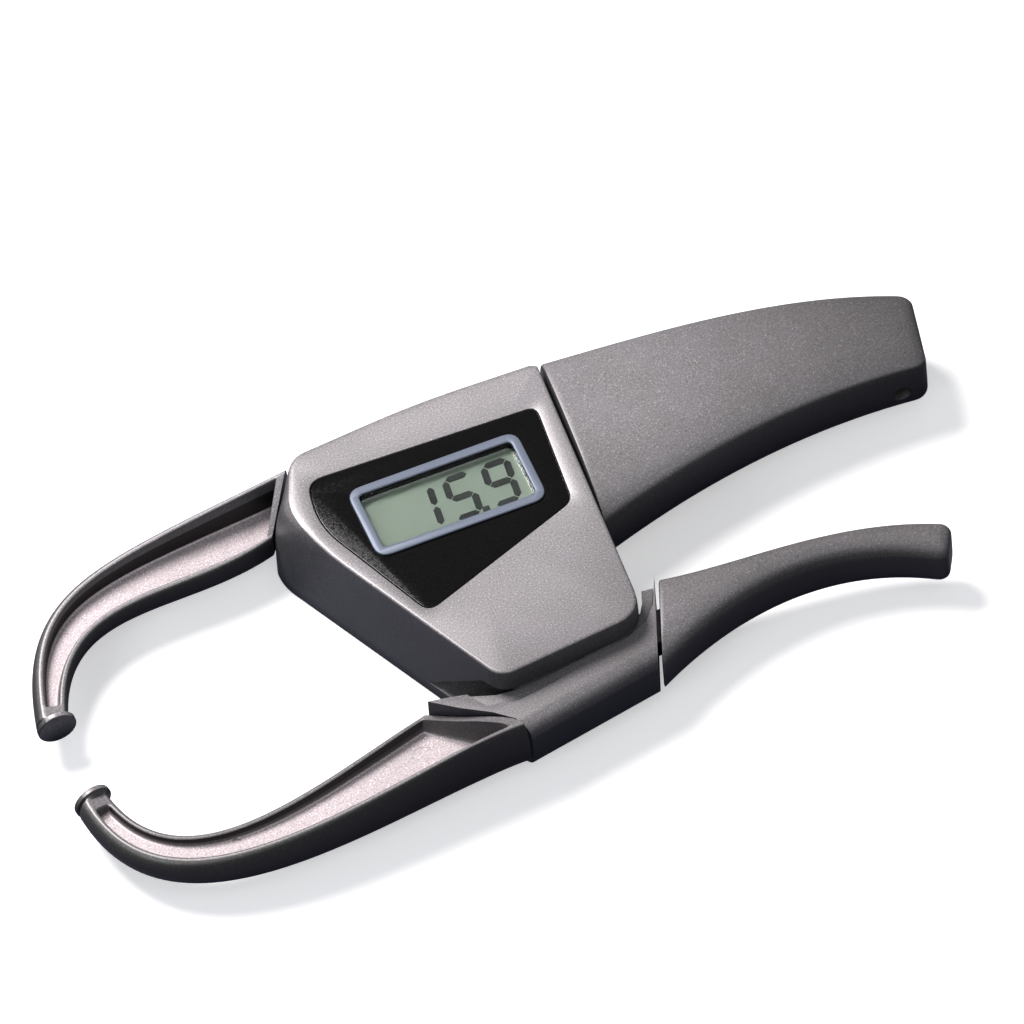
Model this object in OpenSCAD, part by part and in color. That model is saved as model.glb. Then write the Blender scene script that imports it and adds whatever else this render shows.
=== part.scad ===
// Digital skinfold caliper: two levers on one hinge, jaws at -X and grips at +X.
// Origin: hinge axis at the rear rest face. +Z comes out of the display face.
// The upper lever is the housing. The lower lever is drawn with the jaws shut
// and is turned by rest_angle to the opening that the display shows.

/* [Thickness] */
// Thickness of the housing, rear face to face plate
body_t = 20; // [19:0.5:24]
// Height of the levers' underside above the rear face
lever_z = 4; // [3.6:0.1:4.4]
// Thickness of the lower lever outside the housing
lever_t = 11; // [10.6:0.1:12]
// Wall of the moulded shells
wall = 1.8; // [1.4:0.1:2.2]
// Thickness of the face plate
plate_t = 2.2; // [2:0.1:2.6]
// Thickness of the rear cover
rear_t = 2.6; // [2.4:0.1:3]

/* [Opening] */
// Gap between the pads at rest, as the display reads
rest_opening = 15.9; // [10:0.1:20]
// Gap between the pads at full squeeze
max_opening = 50; // [40:1:50]
// Air left between the pads when they are shut
shut_gap = 0.1; // [0.05:0.05:0.3]

/* [Jaws] */
// Distance from the hinge axis to the pads along X
jaw_reach = 83.5; // [78:0.5:90]
// Offset of the pads' meeting line from the hinge axis
pad_line = 9; // [8.4:0.1:9.6]
// Depth of the throat, meeting line to the jaw's back edge
throat = 28; // [26:0.5:30]
// Height of the jaws' underside above the rear face
jaw_z = 5; // [4.6:0.1:5.4]
// Height of a jaw's outer rim at its root
jaw_t = 10.6; // [10:0.1:11]
// Height of a jaw's outer rim at its tip
tip_t = 5.4; // [5:0.1:6]
// Height of a jaw's inner rim at its root
inner_t = 6; // [5.4:0.1:6.6]
// Height of a jaw's inner rim at its tip
inner_tip_t = 4.6; // [4.4:0.1:5]
// Thickness of the pocket's floor
floor_t = 3; // [2.6:0.1:3.4]
// Overhang of the outer wall beyond its rim
bulge = 1.2; // [0.9:0.1:1.4]
// Diameter of the round pads
pad_d = 7; // [6.4:0.1:7.4]
// Thickness of the pads' straight edge
pad_t = 1; // [0.8:0.1:1.4]

/* [Grips] */
// Distance from the hinge axis to the upper grip's end
grip_reach = 82.5; // [78:0.5:86]
// Distance from the hinge axis to the lower grip's end
low_grip_reach = 66.8; // [63:0.2:68]
// Wall of the hollow grips
grip_wall = 2; // [1.6:0.1:2.2]
// Width of the groove where a grip meets its lever
groove = 0.5; // [0.3:0.1:0.8]
// Diameter of the lanyard hole near the upper grip's end
lanyard_d = 3.4; // [3:0.1:4]

/* [Display] */
// Length of the frame round the display
frame_l = 31.4; // [30:0.1:32.5]
// Height of the frame round the display
frame_h = 15.2; // [14.6:0.1:15.8]
// Width of the frame's border
frame_w = 1.6; // [1.4:0.1:2]
// Depth of the recess that the black panel lies in
panel_recess = 1; // [0.8:0.1:1.2]
// Thickness of the black panel
panel_t = 0.8; // [0.6:0.1:0.8]
// Height of a digit
digit_h = 9.6; // [8:0.1:10]
// Thickness of the display cell
cell_t = 2; // [1.6:0.1:2.2]

/* [Hinge] */
// Diameter of the hinge pin
pin_d = 6; // [5:0.1:6.4]
// Radial running clearance of the pin in its bush
run_gap = 0.05; // [0.02:0.01:0.08]
// Wall of the bush in the hub
bush_wall = 1; // [0.8:0.1:1.2]
// Wall of the hub round the bush
hub_wall = 1.4; // [1.2:0.1:1.8]
// Diameter of the return spring's wire
wire_d = 0.8; // [0.6:0.05:0.85]
// Turns of the return spring
spring_turns = 3; // [2:1:3]

/* [Electronics] */
// Thickness of the circuit board
board_t = 1.2; // [0.8:0.1:1.4]
// Height of the contact strips between the board and the display cell
strip_h = 1.6; // [1.2:0.1:1.8]
// Diameter of the coin cell
coin_d = 20; // [18:0.1:20.4]
// Thickness of the coin cell
coin_t = 3.2; // [2.5:0.1:3.4]
// Diameter of the battery cap
cap_d = 23.4; // [22.8:0.1:24]

/* [Power button] */
// Length of the button
button_l = 8; // [6:0.1:9]
// Height of the button
button_h = 3.4; // [3:0.1:3.8]
// Travel of the button
button_travel = 0.8; // [0.5:0.1:1]

/* [Fasteners] */
// Diameter of the screws' shanks
screw_d = 2; // [1.6:0.1:2.2]
// Diameter of the screws' heads
screw_head_d = 3.8; // [3.4:0.1:4]
// Clearance between pieces of one lever
fit = 0.15; // [0.1:0.01:0.2]

/* [Hidden] */
$fn = 48;
eps = 0.01;

// ---- angles of the hinge
pad_radius = norm([jaw_reach, pad_line]);
rest_angle = 2 * asin(rest_opening / 2 / pad_radius);
max_angle = 2 * asin(max_opening / 2 / pad_radius);

// ---- curves and outlines
function mix(a, b, t) = a + (b - a) * t;
function curve_point(p, t) = let (s = 1 - t)
    s * s * s * p[0] + 3 * s * s * t * p[1] + 3 * s * t * t * p[2] + t * t * t * p[3];
function reversed(p) = [for (i = [len(p) - 1:-1:0]) p[i]];
function unit(v) = v / norm(v);

// A polygon whose corner i is rounded off, starting d[i] away from it
function softened(p, d, n = 5) = [for (i = [0:len(p) - 1])
    let (v = p[i], a = p[(i + len(p) - 1) % len(p)], b = p[(i + 1) % len(p)],
         q0 = v + unit(a - v) * d[i], q1 = v + unit(b - v) * d[i])
    for (k = [0:n]) let (t = k / n) (1 - t) * (1 - t) * q0 + 2 * (1 - t) * t * v + t * t * q1];

// A counter-clockwise polygon moved inwards by w all round
function inset(p, w) = [for (i = [0:len(p) - 1])
    let (a = p[(i + len(p) - 1) % len(p)], b = p[i], c = p[(i + 1) % len(p)],
         u = unit(b - a), v = unit(c - b), m = [-u.y, u.x], n = [-v.y, v.x])
    b + w * (m + n) / (1 + m * n)];

// The closed outline of corners p, drawn in by w, with its corners rounded off from r away
function outline(p, r, w = 0) = softened(inset(p, w), [for (d = r) max(d - w, 0.2)]);

// An open line moved by w to its left
function shifted(p, w) = [for (i = [0:len(p) - 1])
    let (a = p[max(i - 1, 0)], b = p[min(i + 1, len(p) - 1)], u = unit(b - a))
    p[i] + w * [-u.y, u.x]];

module slab(points, z0, z1) translate([0, 0, z0]) linear_extrude(z1 - z0) polygon(points);
module rod(x, y, z0, z1, d) translate([x, y, z0]) cylinder(d = d, h = z1 - z0);
module block(x0, x1, y0, y1, z0, z1)
    translate([x0, y0, z0]) cube([x1 - x0, y1 - y0, z1 - z0]);
module at_rest() rotate([0, 0, rest_angle]) children();
function centred(l, h) = [[-l / 2, -h / 2], [l / 2, -h / 2], [l / 2, h / 2], [-l / 2, h / 2]];
function soft_box(l, h, r) = outline(centred(l, h), [r, r, r, r]);

// A closed skin through equal rings of points
module loft(rings) {
    n = len(rings[0]);
    m = len(rings);
    polyhedron(
        points = [for (r = rings) for (p = r) p],
        faces = concat(
            [[for (i = [n - 1:-1:0]) i]],
            [for (k = [0:m - 2]) for (i = [0:n - 1]) let (a = k * n + i, b = k * n + (i + 1) % n)
                each [[a, b, b + n], [a, b + n, a + n]]],
            [[for (i = [0:n - 1]) (m - 1) * n + i]]));
}

// ---- heights
lever_top = lever_z + lever_t;
jaw_floor = jaw_z + floor_t;
pad_z = jaw_z + tip_t / 2 + 0.1;
plate_under = body_t - plate_t;
board_z = plate_under - cell_t - strip_h - board_t;
board_top = board_z + board_t;
cell_z = board_top + strip_h;
slot_top = lever_top + 0.4;
ledge_top = lever_top - 0.8;
shoulder_z = 15.6;

// ---- housing outlines
seam_low = [14.8, -17.5];
seam_top = [17.8, 40.2];
crown = [-5, 41.2];
flank_top = [-27.9, 38.9];
flank_low = [-35.4, 29.7];
cheek = [-35.4, 25.9];
chin = [-13, -20.3];
shell_corners = [chin, seam_low, seam_top, crown, flank_top, flank_low, cheek];
shell_soft = [3, 5, 0.4, 9, 0.8, 1.2, 2.4];
plate_corners = [[-13, -19.9], [14.5, -17.1], [17.2, 37.9], [-5, 38.3], [-28.8, 36.6], [-33.2, 22.2]];
plate_soft = [3, 5, 0.4, 9, 2.4, 11];
window_corners = [[13.9, 30.1], [-28, 31.4], [-29.6, 22], [-19, -2.4], [12.2, 9.2]];
window_soft = [2, 3, 5, 2.4, 2];
frame_c = [-7, 19];

// ---- jaw outlines, on the jaws' meeting line
jaw_back_y = pad_line + throat;
outer_end = -(jaw_reach + pad_d / 2 - 0.15);
inner_end = -(jaw_reach - pad_d / 2 + 0.9);
neck_l = 1.6;
upper_back = [flank_top + [-0.7, 0.5], [-(jaw_reach - 15.5), jaw_back_y - 0.2], [-(jaw_reach - 2.9), jaw_back_y + 0.3],
    [outer_end, pad_line + neck_l]];
upper_front = [flank_low + [-0.7, -0.9], [-(jaw_reach - 29), 23], [-(jaw_reach - 10.5), jaw_back_y - 3],
    [inner_end, pad_line + neck_l]];
lower_back = [[-16.6, -26.2], [-38, -21.4], [-(jaw_reach + 7.2), -(jaw_back_y - 7.2)], [outer_end, pad_line - neck_l]];
lower_front = [[-28.6, -10.4], [-52.9, -11.8], [-(jaw_reach - 2), -(jaw_back_y - 20)], [inner_end, pad_line - neck_l]];

// ---- grip outlines
lid_in = grip_wall + 0.2;
lid_t = 1.6;
upper_lid = [0.38, 0.84];
lower_lid = [0.36, 0.92];
upper_grip_top = [seam_top + [groove, 0], [40, 38.9], [grip_reach - 19.5, 38.2], [grip_reach, 28.7]];
upper_grip_low = [[16 + groove, 5.6], [36.5, 12.6], [grip_reach - 25.4, 16.6], [grip_reach - 2.8, 14.2]];
lower_grip_top = [[18.6 + groove, -11.4], [33, -17.1], [low_grip_reach - 15.2, -18.2], [low_grip_reach, -30.2]];
lower_grip_low = [[9.6 + groove, -26.4], [27.2, -20.6], [low_grip_reach - 19.4, -19.8],
    [low_grip_reach - 4.4, -35.6]];

// Section of a grip, from the back of its low edge round to it again: share of the way across,
// and height, where 0 is the back, 1 the crease of the low edge and 2 the crown
GRIP_SECTION = [[0.12, 0.01], [0.3, 0], [0.7, 0], [0.9, 0.03], [0.97, 0.14], [1, 0.36], [1, 0.9], [0.99, 1.4],
    [0.955, 1.76], [0.87, 1.94], [0.6, 2], [0.32, 1.88], [0.13, 1.54], [0.03, 1.08], [0, 0.8], [0, 0.3], [0.035, 0.08]];
GRIP_RINGS = 11;
// Places along a grip, and how far its ring is drawn in there
GRIP_PLACES = concat([for (k = [0:GRIP_RINGS]) [0.975 * k / GRIP_RINGS, 0]], [[0.992, 0.5], [1, 1.4]]);

// z holds the heights of back, crease and crown, at the root and at the end
function grip_ring(low, top, z, t, w) =
    let (a = curve_point(low, t), b = curve_point(top, t), l = norm(b - a),
         z0 = mix(z[0][0], z[1][0], t) + w, zc = mix(z[0][1], z[1][1], t), z1 = mix(z[0][2], z[1][2], t) - w)
    [for (s = reversed(GRIP_SECTION)) let (q = mix(a, b, (w + s.x * (l - 2 * w)) / l),
        h = s.y < 1 ? mix(z0, zc, s.y) : mix(zc, z1, s.y - 1)) [q.x, q.y, h]];
module grip_solid(low, top, z) loft([for (g = GRIP_PLACES) grip_ring(low, top, z, g[0], g[1])]);

// Plan of the room between two grip curves, w inside them
function grip_plan(low, top, w, t0, t1) = concat(
    shifted([for (i = [0:8]) curve_point(low, mix(t0, t1, i / 8))], w),
    reversed(shifted([for (i = [0:8]) curve_point(top, mix(t0, t1, i / 8))], -w)));

// ---- places of the screws
boss_d = 4.6;
holder_w = 1;
cell_margin = 1.4;
window_l = frame_l - 2 * frame_w;
window_h = frame_h - 2 * frame_w;
cell_l = window_l + 2 * cell_margin;
cell_h = window_h + 2 * cell_margin;
holder_x = cell_l / 2 + holder_w + fit;
holder_y = cell_h / 2 + holder_w + fit;
boss_space = boss_d / 2 + 0.5;
case_screw_at = [[-18.6, 35], [12, 35], [11.2, 4.4], [-22.4, frame_c.y - holder_y - boss_space - 0.2]];
board_screw_at = [[frame_c.x - holder_x - boss_space, 20], [3.5, frame_c.y + holder_y + boss_space + 2.2],
    [-14.6, frame_c.y - holder_y - boss_space - 2]];
screw_head_h = 1.2;
screw_bite = 6;
module screw(z_head, length) {
    translate([0, 0, z_head]) cylinder(d = screw_head_d, h = screw_head_h);
    translate([0, 0, z_head + screw_head_h - eps]) cylinder(d = screw_d, h = length + eps);
}
module screw_space(z_head, length, gap = fit) {
    translate([0, 0, z_head - 10]) cylinder(d = screw_head_d + 2 * gap, h = screw_head_h + 10);
    translate([0, 0, z_head]) cylinder(d = screw_d, h = screw_head_h + length);
}

// ---- tangs that join the jaws and grips to their levers
// Puts Y along the line from b to a and X to its right
module along(b, a) translate([b.x, b.y, 0]) rotate([0, 0, atan2(a.y - b.y, a.x - b.x) - 90]) children();
jaw_tang_z = [jaw_z + 1, jaw_z + 6];
jaw_tang_in = 8.6;
module upper_jaw_tang(gap = 0) along(flank_low, flank_top)
    block(-1 - gap, jaw_tang_in + gap, 2.6 - gap, 9.4 + gap, jaw_tang_z[0] - gap, jaw_tang_z[1] + gap);
upper_jaw_screw = [-27.6, 31];
grip_tang_z = [lever_z + 2, lever_z + 10];
upper_grip_tang = [[15, 12], [15, 34.6], [33, 33.4], [37, 30], [37, 20], [33, 16.4]];
upper_grip_screw = [27, 25];
lower_jaw_tang_line = [[-25.2, -16.6], [-19.2, -22.6], [-8.4, -23.4], [-8.4, -19.6], [-14.4, -18.6], [-20.6, -16]];
lower_jaw_screw = [-12.6, -21];
lower_tang_z = [lever_z + 4, lever_z + 8];
lower_grip_tang = [[10, -21.8], [28.6, -21.4], [30, -18.2], [13.4, -15.4]];
lower_grip_screw = [22.6, -19.2];

// ---- front shell
hinge_boss_d = 10;
pin_seat = 0.02;
pin_low = 1.2;
module lever_way() {
    translate([-45, 0, 0]) rotate([90, 0, 90]) linear_extrude(57)
        polygon([[-4.3, rear_t - 0.4], [-4.3, rear_t], [-16.4, slot_top], [-40, slot_top], [-40, rear_t - 0.4]]);
    block(6, 40, -40, 3, rear_t - 0.4, slot_top);
}
module front_shell() color([0.62, 0.61, 0.62]) difference() {
    union() {
        difference() {
            hull() {
                slab(outline(plate_corners, plate_soft), body_t - eps, body_t);
                slab(outline(shell_corners, shell_soft), rear_t, shoulder_z);
            }
            slab(outline(shell_corners, shell_soft, wall), rear_t - 1, shoulder_z - 1);
            slab(outline(plate_corners, plate_soft, wall + 0.6), rear_t - 1, plate_under);
        }
        rod(0, 0, board_top + 0.2, plate_under + eps, hinge_boss_d);
        intersection() {
            slab(outline(shell_corners, shell_soft, 1), rear_t, plate_under + eps);
            for (p = case_screw_at) rod(p.x, p.y, rear_t, plate_under + eps, boss_d);
        }
        for (p = board_screw_at) rod(p.x, p.y, board_top, plate_under + eps, boss_d);
        rod(upper_jaw_screw.x, upper_jaw_screw.y, jaw_tang_z[1] + fit, plate_under + eps, boss_d);
        slab(upper_grip_tang, grip_tang_z[0], grip_tang_z[1]);
    }
    slab(outline(window_corners, window_soft), body_t - panel_recess, body_t + 1);
    translate([frame_c.x, frame_c.y, 0])
        slab(soft_box(frame_l - 2 * frame_w + 2.2, frame_h - 2 * frame_w + 2.2, 1.2), plate_under - 1, body_t + 1);
    lever_way();
    rod(0, 0, board_top - 1, plate_under - 0.4, pin_d + 2 * pin_seat);
    for (p = case_screw_at) rod(p.x, p.y, rear_t - 1, rear_t + screw_bite, screw_d);
    for (p = board_screw_at) rod(p.x, p.y, board_top - 1, board_top + 2.6, screw_d);
    rod(upper_jaw_screw.x, upper_jaw_screw.y, lever_z, jaw_tang_z[1] + screw_bite, screw_d);
    rod(upper_grip_screw.x, upper_grip_screw.y, lever_z, grip_tang_z[0] + screw_bite, screw_d);
    upper_jaw_tang(fit);
    button_way();
}

// ---- power button in the far wall, with its switch
button_x = -4;
button_z = 9.4;
button_face = crown.y - 0.7;
button_flange = 1;
inner_wall_y = crown.y - 1 - wall;
switch_face = 33.2;
plunger_len = 1.2;
module centred_block(w, y0, y1, h)
    block(button_x - w / 2, button_x + w / 2, y0, y1, button_z - h / 2, button_z + h / 2);
module button_way() centred_block(button_l + 2 * fit, 30, 50, button_h + 2 * fit);
module power_button() color([0.2, 0.2, 0.21]) {
    centred_block(button_l, inner_wall_y - eps, button_face, button_h);
    centred_block(button_l + 2 * button_flange, inner_wall_y - 1, inner_wall_y, button_h + 1.6);
    centred_block(2, switch_face + plunger_len, inner_wall_y - 1 + eps, 2);
}
module switch_body() color([0.12, 0.12, 0.13]) difference() {
    block(button_x - 3, button_x + 3, switch_face - 3.6, switch_face, button_z - 1.8, board_z);
    centred_block(1.8, switch_face - 2.2, switch_face + 1, 1.8);
}
module switch_plunger() color([0.85, 0.83, 0.76])
    centred_block(1.6, switch_face - 1.1, switch_face + plunger_len, 1.6);

// ---- display
module display_panel() color([0.03, 0.03, 0.035]) difference() {
    union() {
        slab(outline(window_corners, window_soft, fit), body_t - panel_recess, body_t - panel_recess + panel_t);
        translate([frame_c.x, frame_c.y, 0])
            slab(soft_box(window_l + 1.9, window_h + 1.9, 1.2), plate_under, body_t - panel_recess + eps);
    }
    translate([frame_c.x, frame_c.y, 0]) slab(soft_box(window_l, window_h, 1), 0, body_t + 1);
}
frame_rise = 0.5;
frame_z = body_t - panel_recess + panel_t;
module display_frame() color([0.55, 0.58, 0.68]) translate([frame_c.x, frame_c.y, 0]) difference() {
    slab(soft_box(frame_l, frame_h, 2.6), frame_z, frame_z + frame_rise);
    slab(soft_box(window_l, window_h, 1), 0, body_t + 1);
}
lens_t = 0.5;
module display_lens() color([0.9, 0.95, 0.95, 0.3]) translate([frame_c.x, frame_c.y, 0])
    slab(soft_box(window_l - 0.1, window_h - 0.1, 1), plate_under + fit, plate_under + fit + lens_t);
module display_cell() color([0.55, 0.66, 0.55]) translate([frame_c.x, frame_c.y, 0])
    block(-cell_l / 2, cell_l / 2, -cell_h / 2, cell_h / 2, cell_z, plate_under);

// Seven-segment digits, as thin plates on the display cell
digit_w = digit_h * 0.57;
digit_pitch = digit_h * 0.74;
segment_w = digit_h * 0.13;
segment_gap = 0.3;
digit_t = 0.1;
digits_right = frame_c.x + window_l / 2 - 1.5;
digit_slant = 6;
// Segments a to g of each digit, from the right
DIGITS = [[1, 1, 1, 1, 0, 1, 1], [1, 0, 1, 1, 0, 1, 1], [0, 1, 1, 0, 0, 0, 0]];
module segment(l) polygon([[-l / 2, 0], [-l / 2 + segment_w / 2, segment_w / 2], [l / 2 - segment_w / 2, segment_w / 2],
    [l / 2, 0], [l / 2 - segment_w / 2, -segment_w / 2], [-l / 2 + segment_w / 2, -segment_w / 2]]);
module digit(on) {
    h = (digit_h - segment_w) / 2;
    w = digit_w - segment_w;
    lean = h / 2 * tan(digit_slant);
    places = [[2 * lean, h, 0, w], [w / 2 + lean, h / 2, 90 - digit_slant, h], [w / 2 - lean, -h / 2, 90 - digit_slant, h],
        [-2 * lean, -h, 0, w], [-w / 2 - lean, -h / 2, 90 - digit_slant, h],
        [-w / 2 + lean, h / 2, 90 - digit_slant, h], [0, 0, 0, w]];
    for (i = [0:6]) if (on[i] == 1) translate([places[i][0], places[i][1]]) rotate(places[i][2])
        segment(places[i][3] - segment_gap);
}
module display_digits() color([0.08, 0.1, 0.09]) translate([digits_right, frame_c.y, plate_under]) {
    for (k = [0:2]) translate([-k * digit_pitch - digit_w / 2, 0, 0]) linear_extrude(digit_t) digit(DIGITS[k]);
    translate([-digit_pitch, -digit_h / 2 + segment_w / 2, 0])
        linear_extrude(digit_t) square(segment_w, center = true);
}
module display_holder() color([0.1, 0.1, 0.11]) translate([frame_c.x, frame_c.y, 0]) difference() {
    block(-holder_x, holder_x, -holder_y, holder_y, board_top, plate_under);
    block(-cell_l / 2 - fit, cell_l / 2 + fit, -cell_h / 2 - fit, cell_h / 2 + fit, board_top - 1, plate_under + 1);
}
strip_w = 1.8;
module contact_strips() color([0.75, 0.4, 0.45]) translate([frame_c.x, frame_c.y, 0])
    for (s = [-1, 1]) translate([0, s * (cell_h / 2 - strip_w / 2 - 0.2), 0])
        block(-cell_l / 2 + 1, cell_l / 2 - 1, -strip_w / 2, strip_w / 2, board_top, cell_z);

// ---- circuit board, with the sensor track round the hinge pin
board_corners = [[-6, -7.4], [6, -7.4], [8.4, -2], [8.4, 8.4], [13.4, 9.4], [13.6, 37], [-20.6, 37.4],
    [-24.4, 27], [-29, 23.4], [-25.6, 12.4], [-18, 2.6], [-8, 0]];
board_soft = [4, 4, 1, 1, 1, 1, 1, 1, 1, 1, 1, 1];
module circuit_board() color([0.1, 0.36, 0.2]) difference() {
    slab(outline(board_corners, board_soft), board_z, board_top);
    rod(0, 0, board_z - 1, board_top + 1, pin_d + 1);
    for (p = board_screw_at) rod(p.x, p.y, board_z - 1, board_top + 1, screw_d + 0.2);
    for (p = case_screw_at) rod(p.x, p.y, board_z - 1, board_top + 1, boss_d + 0.8);
}
// Corner, length, width and height of each chip
CHIPS = [[-1, 9.4, 7, 7, 1], [2.6, 22.6, 3.6, 2.4, 1], [-14, 33.4, 5, 2, 1.4]];
module board_chips() color([0.06, 0.06, 0.07]) {
    for (c = CHIPS) block(c[0], c[0] + c[2], c[1], c[1] + c[3], board_z - c[4], board_z);
}
module board_screws() color([0.75, 0.75, 0.77]) for (p = board_screw_at)
    translate([p.x, p.y, 0]) screw(board_z - screw_head_h, board_t + 2.4);

// ---- battery
coin_c = [-9.5, 20];
coin_z = rear_t + 0.3;
coin_step = 0.4;
ring_wall = 1.6;
contact_t = 0.3;
module battery() color([0.78, 0.78, 0.8]) {
    rod(coin_c.x, coin_c.y, coin_z, coin_z + coin_t - coin_step, coin_d);
    rod(coin_c.x, coin_c.y, coin_z + coin_t - coin_step - eps, coin_z + coin_t, coin_d - 2.4);
}
module battery_clip() color([0.82, 0.78, 0.6]) translate([coin_c.x + coin_d / 2, coin_c.y, 0])
    block(0, contact_t, -2, 2, coin_z, board_z);
module battery_spring() color([0.82, 0.78, 0.6]) translate([coin_c.x, coin_c.y, coin_z + coin_t]) {
    block(-5, 5, -1.5, 1.5, 0, contact_t);
    block(-5, -5 + contact_t, -1.5, 1.5, 0, board_z - coin_z - coin_t);
}
cap_gap = 0.12;
module battery_cap() color([0.35, 0.35, 0.36]) translate([coin_c.x, coin_c.y, 0]) difference() {
    rod(0, 0, 0, rear_t, cap_d - 2 * cap_gap);
    block(-7, 7, -0.9, 0.9, -1, 1.2);
}

// ---- rear cover
lip_h = 1.6;
cover_screw_z = 0.2;
module rear_cover() color([0.5, 0.5, 0.5]) difference() {
    union() {
        slab(outline(shell_corners, shell_soft), 0, rear_t);
        difference() {
            slab(outline(shell_corners, shell_soft, wall + fit), rear_t - eps, rear_t + lip_h);
            slab(outline(shell_corners, shell_soft, 2 * wall + fit), rear_t - 1, rear_t + lip_h + 1);
            lever_way();
            for (p = case_screw_at) rod(p.x, p.y, rear_t, body_t, boss_d + 2 * fit);
        }
        rod(0, 0, rear_t - eps, lever_z + 0.6, hinge_boss_d);
        rod(coin_c.x, coin_c.y, rear_t - eps, coin_z + coin_t, coin_d + 0.4 + 2 * ring_wall);
        rod(spring_post.x, spring_post.y, rear_t - eps, spring_low + wire_d, spring_post_d);
    }
    rod(0, 0, pin_low, body_t, pin_d + 2 * pin_seat);
    rod(coin_c.x, coin_c.y, rear_t - 2 * eps, body_t, coin_d + 0.4);
    block(coin_c.x + coin_d / 2 - 1, coin_c.x + coin_d / 2 + 4, coin_c.y - 2.6, coin_c.y + 2.6, rear_t + 0.1, body_t);
    rod(coin_c.x, coin_c.y, -1, rear_t + 1, cap_d);
    for (p = case_screw_at) translate([p.x, p.y, 0]) {
        screw_space(cover_screw_z, 0);
        cylinder(d = screw_d + 2 * fit, h = rear_t + lip_h + 1);
    }
}
module case_screws() color([0.75, 0.75, 0.77]) for (p = case_screw_at)
    translate([p.x, p.y, 0]) screw(cover_screw_z, rear_t + screw_bite - 1.6);

// ---- hinge
washer_z = lever_z + 0.6;
hub_low = washer_z + 0.5;
hub_top = 11.8;
web_z = 8.8;
hub_bore_d = pin_d + 2 * run_gap + 2 * bush_wall;
hub_d = hub_bore_d + 2 * hub_wall;
module hinge_pin() color([0.8, 0.8, 0.82]) rod(0, 0, pin_low, plate_under - 0.4, pin_d);
module thrust_washer() color([0.9, 0.88, 0.8]) difference() {
    rod(0, 0, washer_z, hub_low - 0.05, hinge_boss_d);
    rod(0, 0, 0, body_t, pin_d + 0.1);
}
module hub_bush() color([0.76, 0.6, 0.35]) at_rest() difference() {
    rod(0, 0, hub_low, hub_top, hub_bore_d);
    rod(0, 0, 0, body_t, pin_d + 2 * run_gap);
}

// Torsion spring round the hub, with one leg on each lever
spring_r = hub_d / 2 + 0.35 + wire_d / 2;
spring_pitch = wire_d + 0.45;
SPRING_STEPS = 16;
SPRING_SIDES = 6;
spring_low = rear_t + 0.5 + wire_d / 2;
spring_leg = 5;
spring_start = 160;
spring_post_d = 2.2;
spring_post = [spring_r * cos(spring_start) + 4 * sin(spring_start), spring_r * sin(spring_start) - 4 * cos(spring_start)]
    + (wire_d / 2 + spring_post_d / 2 + 0.06) * [cos(spring_start), sin(spring_start)];
spring_end = spring_start + 360 * (spring_turns + 0.5);
function spring_point(i, n) = let (a = spring_start + 360 * (spring_turns + 0.5) * i / n)
    [spring_r * cos(a), spring_r * sin(a), spring_low + spring_pitch * (spring_turns + 0.5) * i / n];
function tube_ring(p, dir, d) = let (u = unit(dir), w = unit(cross(u, [0, 0, 1])), v = cross(w, u))
    [for (k = [0:SPRING_SIDES - 1]) let (a = 360 * k / SPRING_SIDES) p + d / 2 * (cos(a) * w + sin(a) * v)];
module tube(path, d) loft([for (i = [0:len(path) - 1])
    tube_ring(path[i], path[min(i + 1, len(path) - 1)] - path[max(i - 1, 0)], d)]);
module return_spring() color([0.7, 0.7, 0.72]) {
    n = SPRING_STEPS * spring_turns + SPRING_STEPS / 2;
    coil = [for (i = [0:n]) spring_point(i, n)];
    first = [sin(spring_start), -cos(spring_start), 0];
    last = [-sin(spring_end), cos(spring_end), 0];
    tube(concat([coil[0] + spring_leg * first], coil, [coil[n] + spring_leg * last]), wire_d);
}

// Peg under the hub's flange, which the spring's upper leg presses on
peg_d = 1.1;
peg_out = spring_r + wire_d / 2 + peg_d / 2 + 0.06;
peg_along = 3.4;
spring_peg = [peg_out * cos(spring_end) - peg_along * sin(spring_end), peg_out * sin(spring_end) + peg_along * cos(spring_end)];
flange_d = 2 * (norm(spring_peg) + peg_d / 2 + 0.2);
peg_low = spring_low + spring_pitch * (spring_turns + 0.5) - wire_d;

// ---- lower lever, drawn with the jaws shut
step_line = [[-19.8, -17.9], [-14.7, -19.8], [-7.7, -20.1], [0.2, -19.8], [7.5, -19.5], [12.1, -18.3], [14.7, -16.3],
    [17, -13]];
ledge_line = [[-24.4, -12.6], [-21.3, -13.9], [-17.1, -16.4], [-13.8, -17.4], [-6.5, -18.1], [1.1, -18.3], [7.3, -18],
    [11.9, -16.6], [13.7, -14.6], [15, -12.4]];
jaw_seam = [[-28.6, -10.4], [-24.2, -15.6], [-20, -19.6], [-17.6, -22.8], [-16.6, -26.2]];
grip_seam = [[9.6, -26.4], [12.3, -21.9], [15.6, -16.4], [18.6, -11.3]];
seam_gap = 0.25;
arm_outline = concat([for (p = grip_seam) p - [seam_gap, 0]],
    reversed(shifted(step_line, -fit)), [ledge_line[1] - [fit, 0], ledge_line[0], jaw_seam[0] + [seam_gap + 0.6, -0.9]],
    [for (i = [1:4]) jaw_seam[i] + [seam_gap, 0]], [[jaw_seam[4].x + 1, -30], [grip_seam[0].x - 3, -30]]);
ledge = concat(reversed([for (i = [1:9]) ledge_line[i]]), step_line);
web = [[-14.4, -17.4], [12.6, -16.6], [7.2, -5], [4, 4], [-4, 4], [-7.2, -5]];
tongue = [[-14.6, -22.6], [7.4, -22.6], [14.4, -17.4], [13, -15.6], [-14, -16.6]];
arm_wall = 1.6;
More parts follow.
